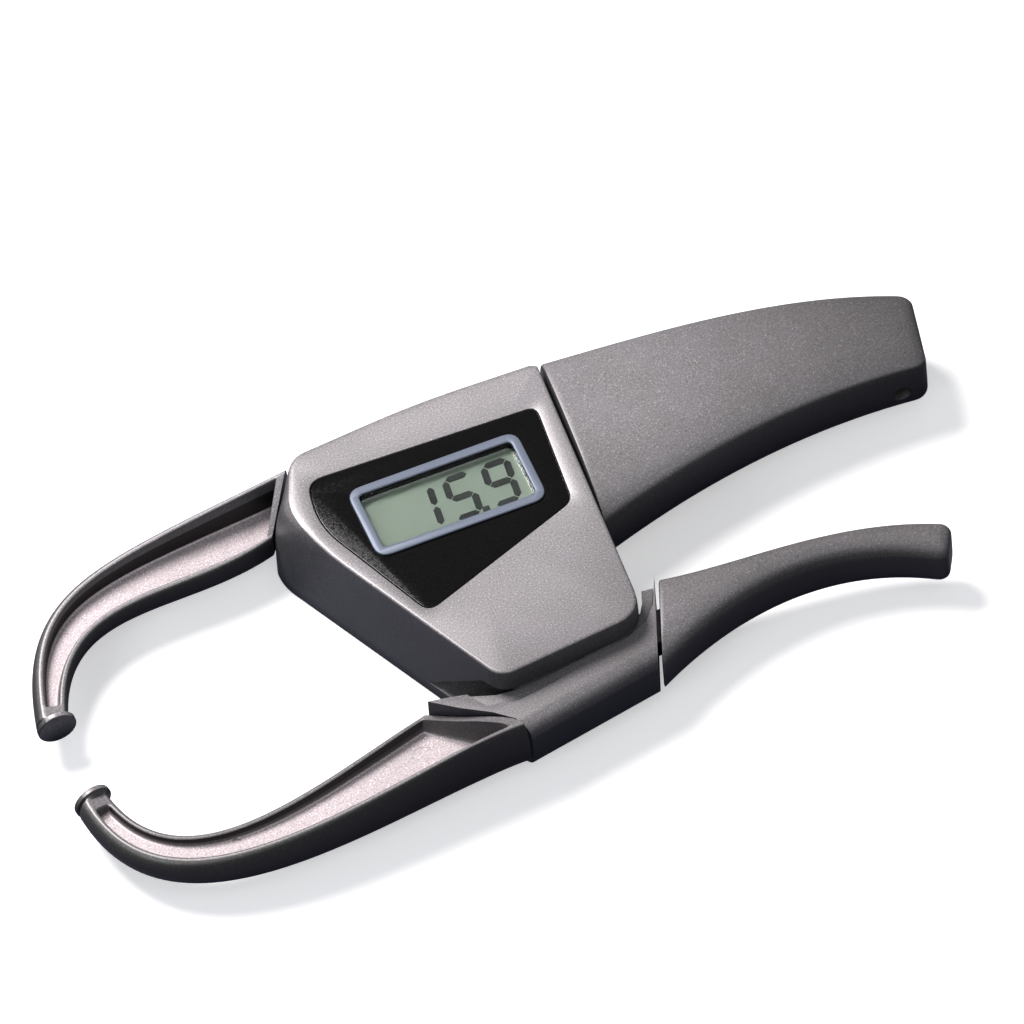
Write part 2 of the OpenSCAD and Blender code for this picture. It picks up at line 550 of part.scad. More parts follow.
module arm_frame() color([0.55, 0.55, 0.54]) at_rest() difference() {
    union() {
        slab(ledge, lever_z + 1, ledge_top);
        slab(web, web_z, hub_top);
        slab(tongue, lever_z + arm_wall + 0.1, lever_top - arm_wall - 0.1);
        rod(0, 0, hub_low, hub_top, hub_d);
        rod(0, 0, web_z, hub_top, flange_d);
        rotate([0, 0, -rest_angle]) rod(spring_peg.x, spring_peg.y, peg_low, web_z + eps, peg_d);
        slab(lower_grip_tang, lower_tang_z[0], lower_tang_z[1]);
    }
    rod(0, 0, 0, body_t, hub_bore_d);
    slab(inset(lower_jaw_tang_line, -fit), lower_tang_z[0] - fit, lower_tang_z[1] + fit);
    lower_screw_holes();
}
module lower_screw_holes() {
    translate([lower_jaw_screw.x, lower_jaw_screw.y, 0]) screw_space(lever_z + 0.2, 7.6);
    translate([lower_grip_screw.x, lower_grip_screw.y, 0]) screw_space(lever_z + 0.2, 6.6);
}
// Section of the arm's shoe: its outer edges are rounded, the upper one more
arm_out = -26.4;
arm_soft = [3.2, 2];
module arm_profile() translate([-40, 0, 0]) rotate([90, 0, 90]) linear_extrude(80) {
    translate([arm_out + arm_soft[0], lever_z]) square([40, lever_t]);
    translate([arm_out + arm_soft[1], lever_z]) square([40, arm_soft[1] + eps]);
    translate([arm_out, lever_z + arm_soft[1]]) square([40, lever_t - arm_soft[0] - arm_soft[1]]);
    translate([arm_out + arm_soft[0], lever_top - arm_soft[0]]) circle(arm_soft[0]);
    translate([arm_out + arm_soft[1], lever_z + arm_soft[1]]) circle(arm_soft[1]);
}
module arm_cover() color([0.5, 0.5, 0.5]) at_rest() difference() {
    intersection() {
        slab(arm_outline, lever_z, lever_top);
        arm_profile();
    }
    slab(inset(tongue, -fit), lever_z + arm_wall, lever_top - arm_wall);
    slab(inset(lower_jaw_tang_line, -fit), lower_tang_z[0] - fit, lower_tang_z[1] + fit);
    slab(inset(lower_grip_tang, -fit), lower_tang_z[0] - fit, lower_tang_z[1] + fit);
    lower_screw_holes();
}
lower_grip_z = [[lever_z, lever_top - 3, lever_top - 0.2], [lever_z + 0.6, lever_top - 3.6, lever_top - 1.2]];
upper_grip_z = [[lever_z - 0.8, lever_top, body_t], [lever_z - 0.4, lever_top - 0.6, lever_top + 1.2]];
lanyard_x = grip_reach - 7.6;
lanyard_z = 8.4;
module lower_grip() color([0.4, 0.41, 0.4]) at_rest() difference() {
    grip_solid(lower_grip_low, lower_grip_top, lower_grip_z);
    slab(grip_plan(lower_grip_low, lower_grip_top, grip_wall - 0.4, lower_lid[0], lower_lid[1]), lever_z - 1,
        lever_z + lid_t + 0.6);
    slab(inset(lower_grip_tang, -fit), lower_tang_z[0] - fit, lower_tang_z[1] + fit);
    lower_screw_holes();
}
module lower_grip_back() color([0.4, 0.41, 0.4]) at_rest()
    slab(grip_plan(lower_grip_low, lower_grip_top, grip_wall - 0.4 + fit, lower_lid[0] + 0.005, lower_lid[1] - 0.005),
        lever_z + 0.6, lever_z + lid_t + 0.6);
module sensor_wiper() color([0.8, 0.7, 0.4]) at_rest() {
    difference() {
        rod(0, 0, hub_top, hub_top + contact_t, hub_d + 3);
        rod(0, 0, 0, body_t, pin_d + 1);
    }
    for (s = [-1, 1]) rotate([0, 0, 90 * s]) block(5, 6.4, -1, 1, hub_top + contact_t - eps, board_z - 0.05);
}
module lower_lever_screws() color([0.75, 0.75, 0.77]) at_rest() {
    translate([lower_jaw_screw.x, lower_jaw_screw.y, 0]) screw(lever_z + 0.2, 7.4);
    translate([lower_grip_screw.x, lower_grip_screw.y, 0]) screw(lever_z + 0.2, 6.4);
}

// ---- jaws: channel with a rounded outer wall, a low inner rim and a round pad
CURVE_STEPS = 24;
JAW_STEPS = 16;
// Places along a jaw, and how far its pocket is open there
JAW_PLACES = concat([[0, 0], [0.022, 0], [0.03, 0.9], [0.036, 1]],
    [for (k = [1:JAW_STEPS]) [mix(0.036, 0.955, k / JAW_STEPS), 1]], [[0.965, 0.9], [0.972, 0], [1, 0]]);
neck_d = pad_d - 1;
function sampled(p) = [for (i = [0:CURVE_STEPS]) curve_point(p, i / CURVE_STEPS)];
function lengths(p) = [for (i = 0, d = 0; i < len(p); d = d + (i + 1 < len(p) ? norm(p[i + 1] - p[i]) : 0), i = i + 1) d];
// The point at a share f of the way along a line p
function share_point(p, f) = let (c = lengths(p), d = f * c[len(c) - 1],
    i = max([for (k = [0:len(c) - 2]) if (c[k] <= d) k])) mix(p[i], p[i + 1], (d - c[i]) / (c[i + 1] - c[i]));

// Section of a jaw w wide with rims at heights zo and zi: distance from the outer face, and
// height; open is 1 where the pocket is open and 0 where the top is closed
function jaw_section(w, zo, zi, open) =
    let (a = bulge + 0.75, b = w - 1.2, low = jaw_z + 2.2, top = function(x, deep) mix(mix(zo, zi, (x - a) / (b - a)), deep, open))
    [[1.6, jaw_z], [0.7, jaw_z + 0.3], [0.2, jaw_z + 1], [0, low], [0.06 * bulge, mix(low, zo, 0.3)],
    [0.3 * bulge, mix(low, zo, 0.62)], [0.65 * bulge, mix(low, zo, 0.87)], [bulge, zo - 0.15], [bulge + 0.35, zo],
    [a, top(a, zo - 0.05)], [a + 0.25, top(a + 0.25, zo - 0.35)], [a + 0.4, top(a + 0.4, jaw_floor + 0.4)],
    [a + 0.75, top(a + 0.75, jaw_floor)], [w - 1.9, top(w - 1.9, jaw_floor)], [w - 1.6, top(w - 1.6, jaw_floor + 0.35)],
    [w - 1.5, top(w - 1.5, zi - 0.35)], [b, top(b, zi)], [w - 0.75, zi - 0.05], [w - 0.3, zi - 0.5], [w - 0.05, zi - 1.4],
    [w, mix(jaw_z, zi, 0.45)], [w - 0.15, jaw_z + 1], [w - 0.6, jaw_z + 0.3], [w - 1.4, jaw_z]];
function toward_tip(x) = min(max((-x - 30) / (jaw_reach - 30), 0), 1);

// seam is the root line from the outer face to the inner one; back rings follow it near the root
function jaw_ring(back, front, seam, place) =
    let (a = share_point(back, place[0]), b = share_point(front, place[0]), w = norm(b - a),
         k = max(0, 1 - place[0] / 0.1), f = toward_tip((a.x + b.x) / 2))
    [for (q = jaw_section(w, mix(jaw_z + jaw_t, jaw_z + tip_t, f), mix(jaw_z + inner_t, jaw_z + inner_tip_t, f), place[1]))
        let (s = q[0] / w, p = mix(a, b, s) + k * (share_point(seam, s) - mix(back[0], front[0], s))) [p.x, p.y, q[1]]];
// Ring of the neck at a distance h behind the pad's face, matched to the section w wide
function neck_ring(w, side, h) = [for (q = jaw_section(w, jaw_z + tip_t, jaw_z + inner_tip_t, 0))
    let (g = atan2(q[1] - pad_z, q[0] - w / 2))
    [-jaw_reach + neck_d / 2 * cos(g), pad_line + side * (shut_gap / 2 + h), pad_z + neck_d / 2 * sin(g)]];

// side is 1 for the upper jaw and -1 for the lower one; start is how far the first ring lies behind the seam
module jaw(back_curve, front_curve, seam, side, start) {
    back = sampled(back_curve);
    front = sampled(front_curve);
    rings = [for (p = JAW_PLACES) jaw_ring(back, front, seam, p)];
    first = [for (p = rings[0]) p + [start, 0, 0]];
    all = concat(start > 0 ? [jaw_ring(back, front, [back[0], front[0]], [0, 0]) + [for (p = first) [start, 0, 0]]] : [],
        rings, [neck_ring(norm(front_curve[3] - back_curve[3]), side, pad_t - 0.3)]);
    loft(side > 0 ? all : [for (r = all) reversed(r)]);
    translate([-jaw_reach, pad_line + side * shut_gap / 2, pad_z]) rotate([-90 * side, 0, 0]) cylinder(d = pad_d, h = pad_t);
}
module upper_jaw() color([0.6, 0.59, 0.6]) difference() {
    union() {
        jaw(upper_back, upper_front, [upper_back[0], upper_front[0]], 1, 0);
        upper_jaw_tang();
    }
    translate([upper_jaw_screw.x, upper_jaw_screw.y, 0]) cylinder(d = screw_d + 2 * fit, h = body_t);
}
module lower_jaw() color([0.6, 0.59, 0.6]) at_rest() difference() {
    union() {
        difference() {
            jaw(lower_back, lower_front, [for (p = reversed(jaw_seam)) p + [0.5, 0]], -1, 5);
            slab(concat([jaw_seam[0] + [-4, 4.7]], jaw_seam, [jaw_seam[4] + [1.8, -6], [0, -33], [0, -5]]), 0, body_t);
        }
        slab(lower_jaw_tang_line, lower_tang_z[0], lower_tang_z[1]);
    }
    translate([lower_jaw_screw.x, lower_jaw_screw.y, 0]) cylinder(d = screw_d, h = body_t);
}

// ---- upper grip
module upper_grip() color([0.55, 0.55, 0.55]) difference() {
    grip_solid(upper_grip_low, upper_grip_top, upper_grip_z);
    slab(grip_plan(upper_grip_low, upper_grip_top, lid_in, upper_lid[0], upper_lid[1]), lever_z - 1, lever_z + lid_t);
    slab(grip_plan(upper_grip_low, upper_grip_top, lid_in + 1, upper_lid[0] + 0.02, upper_lid[1] - 0.02),
        lever_z + lid_t - eps, lever_top - 1.4);
    slab(inset(reversed(upper_grip_tang), -fit), grip_tang_z[0] - fit, grip_tang_z[1] + fit);
    translate([upper_grip_screw.x, upper_grip_screw.y, 0]) screw_space(lever_z + 0.2, 2);
    translate([lanyard_x, 0, lanyard_z]) rotate([-90, 0, 0]) cylinder(d = lanyard_d, h = 50);
}
module upper_grip_back() color([0.5, 0.5, 0.5])
    slab(grip_plan(upper_grip_low, upper_grip_top, lid_in + fit, upper_lid[0] + 0.004, upper_lid[1] - 0.004),
        lever_z, lever_z + lid_t);
module upper_lever_screws() color([0.75, 0.75, 0.77]) {
    translate([upper_grip_screw.x, upper_grip_screw.y, 0]) screw(lever_z + 0.2, 6);
    translate([upper_jaw_screw.x, upper_jaw_screw.y, 0]) screw(jaw_tang_z[0] - screw_head_h, 10);
}

front_shell();
rear_cover();
display_panel();
display_frame();
display_lens();
display_cell();
display_digits();
display_holder();
contact_strips();
circuit_board();
board_chips();
board_screws();
switch_body();
switch_plunger();
power_button();
battery();
battery_clip();
battery_spring();
battery_cap();
upper_jaw();
upper_grip();
upper_grip_back();
hinge_pin();
thrust_washer();
return_spring();
hub_bush();
arm_frame();
arm_cover();
lower_jaw();
lower_grip();
lower_grip_back();
sensor_wiper();
case_screws();
upper_lever_screws();
lower_lever_screws();
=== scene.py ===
"""Skinfold caliper: the looks of its pieces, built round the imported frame."""

import math

import bmesh
import bpy
from bpy.props import FloatProperty, FloatVectorProperty, PointerProperty
from mathutils import Matrix, Vector


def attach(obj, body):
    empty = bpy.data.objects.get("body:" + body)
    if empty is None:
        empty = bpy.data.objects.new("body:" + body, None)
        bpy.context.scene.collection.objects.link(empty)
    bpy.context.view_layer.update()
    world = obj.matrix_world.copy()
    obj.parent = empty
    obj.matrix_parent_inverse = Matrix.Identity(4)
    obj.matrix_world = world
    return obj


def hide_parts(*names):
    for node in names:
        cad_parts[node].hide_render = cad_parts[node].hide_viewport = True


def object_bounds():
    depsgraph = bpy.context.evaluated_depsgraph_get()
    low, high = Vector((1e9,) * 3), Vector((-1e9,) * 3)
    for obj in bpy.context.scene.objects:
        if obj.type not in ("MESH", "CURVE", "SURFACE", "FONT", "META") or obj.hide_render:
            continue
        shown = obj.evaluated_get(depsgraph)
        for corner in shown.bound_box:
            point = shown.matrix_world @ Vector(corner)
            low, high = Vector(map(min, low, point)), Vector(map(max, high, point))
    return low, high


bl_info = {
    "name": "Skinfold Caliper",
    "version": (1, 0, 0),
    "blender": (4, 5, 0),
    "location": "3D View > Sidebar > Caliper",
    "description": "Builds the pieces of a digital skinfold caliper and their finishes",
    "category": "Add Mesh",
}

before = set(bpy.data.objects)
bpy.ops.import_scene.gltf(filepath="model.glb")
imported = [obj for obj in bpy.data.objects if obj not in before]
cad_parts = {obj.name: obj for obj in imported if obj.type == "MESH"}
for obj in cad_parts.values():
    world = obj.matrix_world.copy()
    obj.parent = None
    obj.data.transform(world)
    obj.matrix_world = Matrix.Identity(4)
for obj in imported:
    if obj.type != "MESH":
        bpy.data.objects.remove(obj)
SOLID_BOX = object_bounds()
MM = 0.001

# ---- housing, in millimetres like every size up to the stage
BODY_T, REAR_T, WALL, PLATE_T, PANEL_RECESS = 20.0, 2.6, 1.8, 2.2, 1.0
FRAME_C, FRAME_L, FRAME_H, FRAME_W = (-7.0, 19.0), 31.4, 15.2, 1.6
# Foot of the side wall over the lower lever: its height, and the ramp that leads up to it
SLOT_TOP, RAMP_START_Y, RAMP_END_Y, RAMP_END_X = 15.4, -4.3, -16.4, 12.0
# Corner of the notch that clears the lower grip, and where its edge meets the side wall
NOTCH_X, NOTCH_Y, NOTCH_WALL_X = 6.0, 3.0, 15.86
BUTTON_AT, BUTTON_WAY = (-4.0, 39.5, 9.4), (8.3, 8.0, 3.7)
COIN_C, CAP_CLEAR = (-9.5, 20.0), 12.5
# Point that every outline of the housing is seen from when its rings are matched
HUB = (-7.0, 16.0)

# Corners of an outline, and how far from each of them its rounding starts
SHELL = ([(-13, -20.3), (14.8, -17.5), (17.8, 40.2), (-5, 41.2), (-27.9, 38.9), (-35.4, 29.7), (-35.4, 25.9)],
         [3, 5, 0.4, 9, 0.8, 1.2, 2.4])
PLATE = ([(-13, -19.9), (14.5, -17.1), (17.2, 37.9), (-5, 38.3), (-28.8, 36.6), (-33.2, 22.2)],
         [3, 5, 0.4, 9, 2.4, 11])
WINDOW = ([(13.9, 30.1), (-28, 31.4), (-29.6, 22), (-19, -2.4), (12.2, 9.2)], [2, 3, 5, 2.4, 2])

# ---- jaws: their sizes, and the curves of their edges
JAW_REACH, PAD_LINE, THROAT, SHUT_GAP, REST_OPENING = 83.5, 9.0, 28.0, 0.1, 15.9
JAW_Z, JAW_FLOOR, BULGE = 5.0, 8.0, 1.2
JAW_T, TIP_T, INNER_T, INNER_TIP_T = 10.6, 5.4, 6.0, 4.6
PAD_D, PAD_T = 7.0, 1.0
PAD_Z = JAW_Z + TIP_T / 2 + 0.1
REST_ANGLE = 2 * math.asin(REST_OPENING / 2 / math.hypot(JAW_REACH, PAD_LINE))
JAW_BACK_Y = PAD_LINE + THROAT
OUTER_END, INNER_END = -(JAW_REACH + PAD_D / 2 - 0.15), -(JAW_REACH - PAD_D / 2 + 0.9)
NECK_L = 1.6
UPPER_BACK = [(-28.6, 39.4), (-(JAW_REACH - 15.5), JAW_BACK_Y - 0.2),
              (-(JAW_REACH - 2.9), JAW_BACK_Y + 0.3), (OUTER_END, PAD_LINE + NECK_L)]
UPPER_FRONT = [(-36.1, 28.8), (-(JAW_REACH - 29), 23),
               (-(JAW_REACH - 10.5), JAW_BACK_Y - 3), (INNER_END, PAD_LINE + NECK_L)]
LOWER_BACK = [(-16.6, -26.2), (-38, -21.4),
              (-(JAW_REACH + 7.2), -(JAW_BACK_Y - 7.2)), (OUTER_END, PAD_LINE - NECK_L)]
LOWER_FRONT = [(-28.6, -10.4), (-52.9, -11.8),
               (-(JAW_REACH - 2), -(JAW_BACK_Y - 20)), (INNER_END, PAD_LINE - NECK_L)]
UPPER_SEAM = [UPPER_BACK[0], UPPER_FRONT[0]]
LOWER_SEAM = [(-16.6, -26.2), (-17.6, -22.8), (-20, -19.6), (-24.2, -15.6), (-28.6, -10.4)]

# ---- grips: the curves of their edges, and the heights of back, crease and crown at root and end
LEVER_Z, LEVER_TOP = 4.0, 15.0
GRIP_REACH, LOW_GRIP_REACH = 82.5, 66.8
LANYARD_D, LANYARD_AT = 3.4, (GRIP_REACH - 7.6, 25.0, 8.4)
UPPER_GRIP_TOP = [(18.3, 40.2), (40, 38.9), (GRIP_REACH - 19.5, 38.2), (GRIP_REACH, 28.7)]
UPPER_GRIP_LOW = [(16.5, 5.6), (36.5, 12.6), (GRIP_REACH - 25.4, 16.6), (GRIP_REACH - 2.8, 14.2)]
LOWER_GRIP_TOP = [(19.1, -11.4), (33, -17.1), (LOW_GRIP_REACH - 15.2, -18.2), (LOW_GRIP_REACH, -30.2)]
LOWER_GRIP_LOW = [(10.1, -26.4), (27.2, -20.6), (LOW_GRIP_REACH - 19.4, -19.8), (LOW_GRIP_REACH - 4.4, -35.6)]
UPPER_GRIP_Z = ((LEVER_Z - 0.8, LEVER_TOP, BODY_T), (LEVER_Z - 0.4, LEVER_TOP - 0.6, LEVER_TOP + 1.2))
LOWER_GRIP_Z = ((LEVER_Z, LEVER_TOP - 3, LEVER_TOP - 0.2), (LEVER_Z + 0.6, LEVER_TOP - 3.6, LEVER_TOP - 1.2))


# ---- plane geometry
def mix(a, b, t):
    """The point a share t of the way from a to b."""
    return tuple(x + (y - x) * t for x, y in zip(a, b))


def curve_point(p, t):
    """A point of the cubic curve with the four control points p."""
    s = 1 - t
    return tuple(s ** 3 * p[0][k] + 3 * s * s * t * p[1][k] + 3 * s * t * t * p[2][k] + t ** 3 * p[3][k]
                 for k in range(2))


def sampled(curve, steps=64):
    """Points along a curve."""
    return [Vector(curve_point(curve, k / steps)) for k in range(steps + 1)]


def share_point(line, share):
    """The point at a share of the way along a line of points."""
    runs = [(b - a).length for a, b in zip(line, line[1:])]
    left = share * sum(runs)
    for a, b, d in zip(line, line[1:], runs):
        if left <= d:
            return a + (b - a) * left / d
        left -= d
    return line[-1].copy()


def cut_corners(points, rounds=2):
    """A closed run of points with its corners cut at a quarter and three quarters, as often as asked."""
    for _ in range(rounds):
        pairs = list(zip(points, points[1:] + points[:1]))
        points = [q for a, b in pairs for q in (mix(a, b, 0.25), mix(a, b, 0.75))]
    return points


def softened(points, reach, steps=6):
    """The closed outline of points, each corner rounded off from reach away."""
    out = []
    for i, v in enumerate(points):
        a, b = points[i - 1], points[(i + 1) % len(points)]
        v = Vector(v)
        q0 = v + (Vector(a) - v).normalized() * reach[i]
        q1 = v + (Vector(b) - v).normalized() * reach[i]
        for k in range(steps + 1):
            t = k / steps
            out.append(tuple((1 - t) ** 2 * q0 + 2 * (1 - t) * t * v + t * t * q1))
    return out


def drawn_in(points, w):
    """A counter-clockwise outline moved inwards by w."""
    out = []
    for i, b in enumerate(points):
        a, c = Vector(points[i - 1]), Vector(points[(i + 1) % len(points)])
        b = Vector(b)
        u, v = (b - a).normalized(), (c - b).normalized()
        m, n = Vector((-u.y, u.x)), Vector((-v.y, v.x))
        out.append(tuple(b + w * (m + n) / (1 + m.dot(n))))
    return out


def outline(form, w=0.0):
    """The outline of a form drawn in by w, with its corners rounded off."""
    points, reach = form
    return softened(drawn_in(points, w), [max(d - w, 0.2) for d in reach])


def soft_box(length, height, r):
    """A box round the display's middle, with its corners rounded off from r away."""
    points = [(-length / 2, -height / 2), (length / 2, -height / 2),
              (length / 2, height / 2), (-length / 2, height / 2)]
    return [(x + FRAME_C[0], y + FRAME_C[1]) for x, y in softened(points, [r] * 4)]


def angle_of(p):
    """Direction of a point from HUB."""
    return math.atan2(p[1] - HUB[1], p[0] - HUB[0])


def reach_at(points, angle):
    """Where the ray from HUB at this angle leaves a convex outline."""
    d = Vector((math.cos(angle), math.sin(angle)))
    best = None
    for i, q in enumerate(points):
        p = points[i - 1]
        e = Vector(q) - Vector(p)
        o = Vector(p) - Vector(HUB)
        det = d.x * -e.y + e.x * d.y
        if abs(det) < 1e-9:
            continue
        r = (o.x * -e.y + e.x * o.y) / det
        s = (d.x * o.y - d.y * o.x) / det
        if r > 0 and -1e-6 <= s <= 1 + 1e-6:
            best = max(best or 0, r)
    return (HUB[0] + d.x * best, HUB[1] + d.y * best)


# ---- making pieces
def new_piece(name, bm, body, *replaced, slot="grey_shell"):
    """Makes a finished piece that rides on a body, in the place of the frame's nodes named."""
    mesh = bpy.data.meshes.new(name)
    bm.to_mesh(mesh)
    bm.free()
    obj = bpy.data.objects.new(name, mesh)
    bpy.context.scene.collection.objects.link(obj)
    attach(obj, body)
    if replaced:
        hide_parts(*replaced)
    return obj


def shade(bm, degrees=32):
    """Smooth shading, with the edges kept sharp that bend more than degrees."""
    limit = math.radians(degrees)
    for f in bm.faces:
        f.smooth = True
    for e in bm.edges:
        e.smooth = len(e.link_faces) == 2 and e.calc_face_angle(0) < limit


def outwards(bm):
    """Turns the faces of a closed skin outwards."""
    bmesh.ops.remove_doubles(bm, verts=bm.verts, dist=1e-7)
    bmesh.ops.recalc_face_normals(bm, faces=bm.faces)
    if bm.calc_volume(signed=True) < 0:
        bmesh.ops.reverse_faces(bm, faces=bm.faces)


def loft(rings, turned=0.0, closed=False, finish_at=None):
    """A skin through equal rings of points: the first is a circle moved onto its places, and each
    next one is extruded from it. closed joins the last ring to the first. finish_at gives the
    material number of a face from its ring and its side."""
    bm = bmesh.new()
    n = len(rings[0])
    turn = Matrix.Rotation(turned, 4, "Z")

    def put(verts, ring):
        for v, p in zip(verts, ring):
            v.co = turn @ (Vector(p) * MM)

    verts = bmesh.ops.create_circle(bm, cap_ends=False, segments=n, radius=MM)["verts"]
    put(verts, rings[0])
    edges = [bm.edges.get((verts[i], verts[(i + 1) % n])) for i in range(n)]
    first_edges, first_verts = edges, verts
    for k, ring in enumerate(rings[1:]):
        last = edges
        geom = bmesh.ops.extrude_edge_only(bm, edges=edges)["geom"]
        grown = set(v for v in geom if isinstance(v, bmesh.types.BMVert))
        verts = [next(e.other_vert(v) for e in v.link_edges if e.other_vert(v) in grown) for v in verts]
        put(verts, ring)
        edges = [bm.edges.get((verts[i], verts[(i + 1) % n])) for i in range(n)]
        if finish_at:
            for i, (a, b) in enumerate(zip(last, edges)):
                next(f for f in a.link_faces if f in b.link_faces).material_index = finish_at(k, i)
    if closed:
        bmesh.ops.bridge_loops(bm, edges=edges + first_edges)
    else:
        bmesh.ops.contextual_create(bm, geom=first_verts)
        bmesh.ops.contextual_create(bm, geom=verts)
    return bm


def dressed(node, width, segments=2, sharp=30, only=None):
    """A merged copy of a frame node's mesh with its sharp edges rounded, or only some of them."""
    bm = bmesh.new()
    bm.from_mesh(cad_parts[node].data)
    bm.transform(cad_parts[node].matrix_world)
    bmesh.ops.remove_doubles(bm, verts=bm.verts, dist=2e-6)
    bmesh.ops.dissolve_limit(bm, angle_limit=math.radians(0.6), verts=bm.verts, edges=bm.edges)
    limit = math.radians(sharp)
    edges = [e for e in bm.edges if len(e.link_faces) == 2 and e.calc_face_angle(0) > limit]
    if only:
        edges = [e for e in edges if only(e)]
    bmesh.ops.bevel(bm, geom=edges, offset=width * MM, offset_type="OFFSET", affect="EDGES",
                    segments=segments, profile=0.5, material=-1, clamp_overlap=True)
    shade(bm)
    return bm


def cut(obj, cutter_bm):
    """Takes the cutter's volume out of a piece."""
    mesh = bpy.data.meshes.new("cutter")
    cutter_bm.to_mesh(mesh)
    cutter_bm.free()
    cutter = bpy.data.objects.new("cutter", mesh)
    bpy.context.scene.collection.objects.link(cutter)
    mod = obj.modifiers.new("cut", "BOOLEAN")
    mod.operation, mod.object, mod.solver = "DIFFERENCE", cutter, "EXACT"
    dg = bpy.context.evaluated_depsgraph_get()
    result = bpy.data.meshes.new_from_object(obj.evaluated_get(dg))
    obj.modifiers.clear()
    obj.data = result
    bpy.data.objects.remove(cutter)
    bpy.data.meshes.remove(mesh)


# ---- materials
# Numbers of the colour sockets of a mix node, which share their names with its other sockets
MIX_A, MIX_B, MIX_RESULT = 6, 7, 2
# How far a plain finish's grain moves its roughness either way
ROUGH_VARY = 0.06


def nodes_of(name):
    """A new material, its node tree and its shader."""
    m = bpy.data.materials.new(name)
    m.use_nodes = True
    t = m.node_tree
    return m, t, t.nodes["Principled BSDF"]


def link(t, a, b):
    t.links.new(a, b)


def ramp(t, stops, source):
    """The colours of stops, spread over a value."""
    r = t.nodes.new("ShaderNodeValToRGB")
    while len(r.color_ramp.elements) < len(stops):
        r.color_ramp.elements.new(0.5)
    for e, (place, colour) in zip(r.color_ramp.elements, stops):
        e.position = place
        e.color = (*colour, 1)
    link(t, source, r.inputs["Fac"])
    return r.outputs["Color"]


def grey(value):
    return (value, value, value)


def darker(colour, share):
    return tuple(c * share for c in colour)


def noise(t, scale, detail=2.0, rough=0.5):
    """Noise that is fixed to the piece."""
    n = t.nodes.new("ShaderNodeTexNoise")
    n.inputs["Scale"].default_value = scale
    n.inputs["Detail"].default_value = detail
    n.inputs["Roughness"].default_value = rough
    link(t, t.nodes.new("ShaderNodeTexCoord").outputs["Object"], n.inputs["Vector"])
    return n.outputs["Fac"]


def multiplied(t, a, b):
    """The product of two colours."""
    m = t.nodes.new("ShaderNodeMix")
    m.data_type, m.blend_type = "RGBA", "MULTIPLY"
    m.inputs["Factor"].default_value = 1
    link(t, a, m.inputs[MIX_A])
    link(t, b, m.inputs[MIX_B])
    return m.outputs[MIX_RESULT]


def bump(t, bsdf, source, strength, distance):
    """Roughens a shader's surface with a value."""
    b = t.nodes.new("ShaderNodeBump")
    b.inputs["Strength"].default_value = strength
    b.inputs["Distance"].default_value = distance
    link(t, source, b.inputs["Height"])
    link(t, b.outputs["Normal"], bsdf.inputs["Normal"])


def facing_up(t, coord):
    """A value that grows from 0 on faces that look down to 1 on those that look up; it sets the painted light
    and shade.
    """
    split = t.nodes.new("ShaderNodeSeparateXYZ")
    link(t, coord.outputs["Normal"], split.inputs[0])
    lift = t.nodes.new("ShaderNodeMath")
    lift.operation = "MULTIPLY_ADD"
    lift.inputs[1].default_value = 0.5
    lift.inputs[2].default_value = 0.5
    link(t, split.outputs["Z"], lift.inputs[0])
    return lift.outputs[0]


def painted_shade_along(t, coord, colour, axis, first, last, end):
    """A colour with painted shade that grows darker between two places along an axis, to the share end."""
    where = t.nodes.new("ShaderNodeSeparateXYZ")
    link(t, coord.outputs["Object"], where.inputs[0])
    span = t.nodes.new("ShaderNodeMapRange")
    span.inputs["From Min"].default_value = first * MM
    span.inputs["From Max"].default_value = last * MM
    link(t, where.outputs[axis], span.inputs["Value"])
    return multiplied(t, colour, ramp(t, [(0.0, grey(1)), (1.0, grey(end))], span.outputs["Result"]))


def flake_with_painted_shade(name, face, slope, side, under, metallic=0.35, shade_along=None):
    """Satin grey plastic with metal flake, with painted light and shade: lighter on faces that look up,
    painted darker where it turns to the side and down.
    """
    m, t, bsdf = nodes_of(name)
    coord = t.nodes.new("ShaderNodeTexCoord")
    # Painted light and shade: dark blue-grey where a face looks down, light where it looks up
    tones = [(0.0, under), (0.42, under), (0.52, side), (0.72, slope), (0.93, face), (1.0, face)]
    base = ramp(t, tones, facing_up(t, coord))
    grain = noise(t, 3600, 1.5, 0.65)
    # Flake grain; its brightest stop, above one, paints glints of the flakes
    flecks_and_glints = [(0.25, (0.62, 0.62, 0.63)), (0.48, (0.97, 0.97, 0.97)), (0.6, (1.06, 1.05, 1.05)),
              (0.74, (1.9, 1.86, 1.86))]
    clouds = [(0.3, (0.93, 0.93, 0.92)), (0.7, (1.06, 1.05, 1.06))]
    colour = multiplied(t, base, ramp(t, flecks_and_glints, grain))
    colour = multiplied(t, colour, ramp(t, clouds, noise(t, 90, 3.0, 0.55)))
    # Painted shade that darkens the colour along an axis
    if shade_along:
        colour = painted_shade_along(t, coord, colour, *shade_along)
    link(t, colour, bsdf.inputs["Base Color"])
    link(t, ramp(t, [(0.3, grey(0.37)), (0.7, grey(0.48))], grain), bsdf.inputs["Roughness"])
    bsdf.inputs["Metallic"].default_value = metallic
    bsdf.inputs["Specular IOR Level"].default_value = 0.3
    bump(t, bsdf, grain, 0.12, 0.00004)
    return m


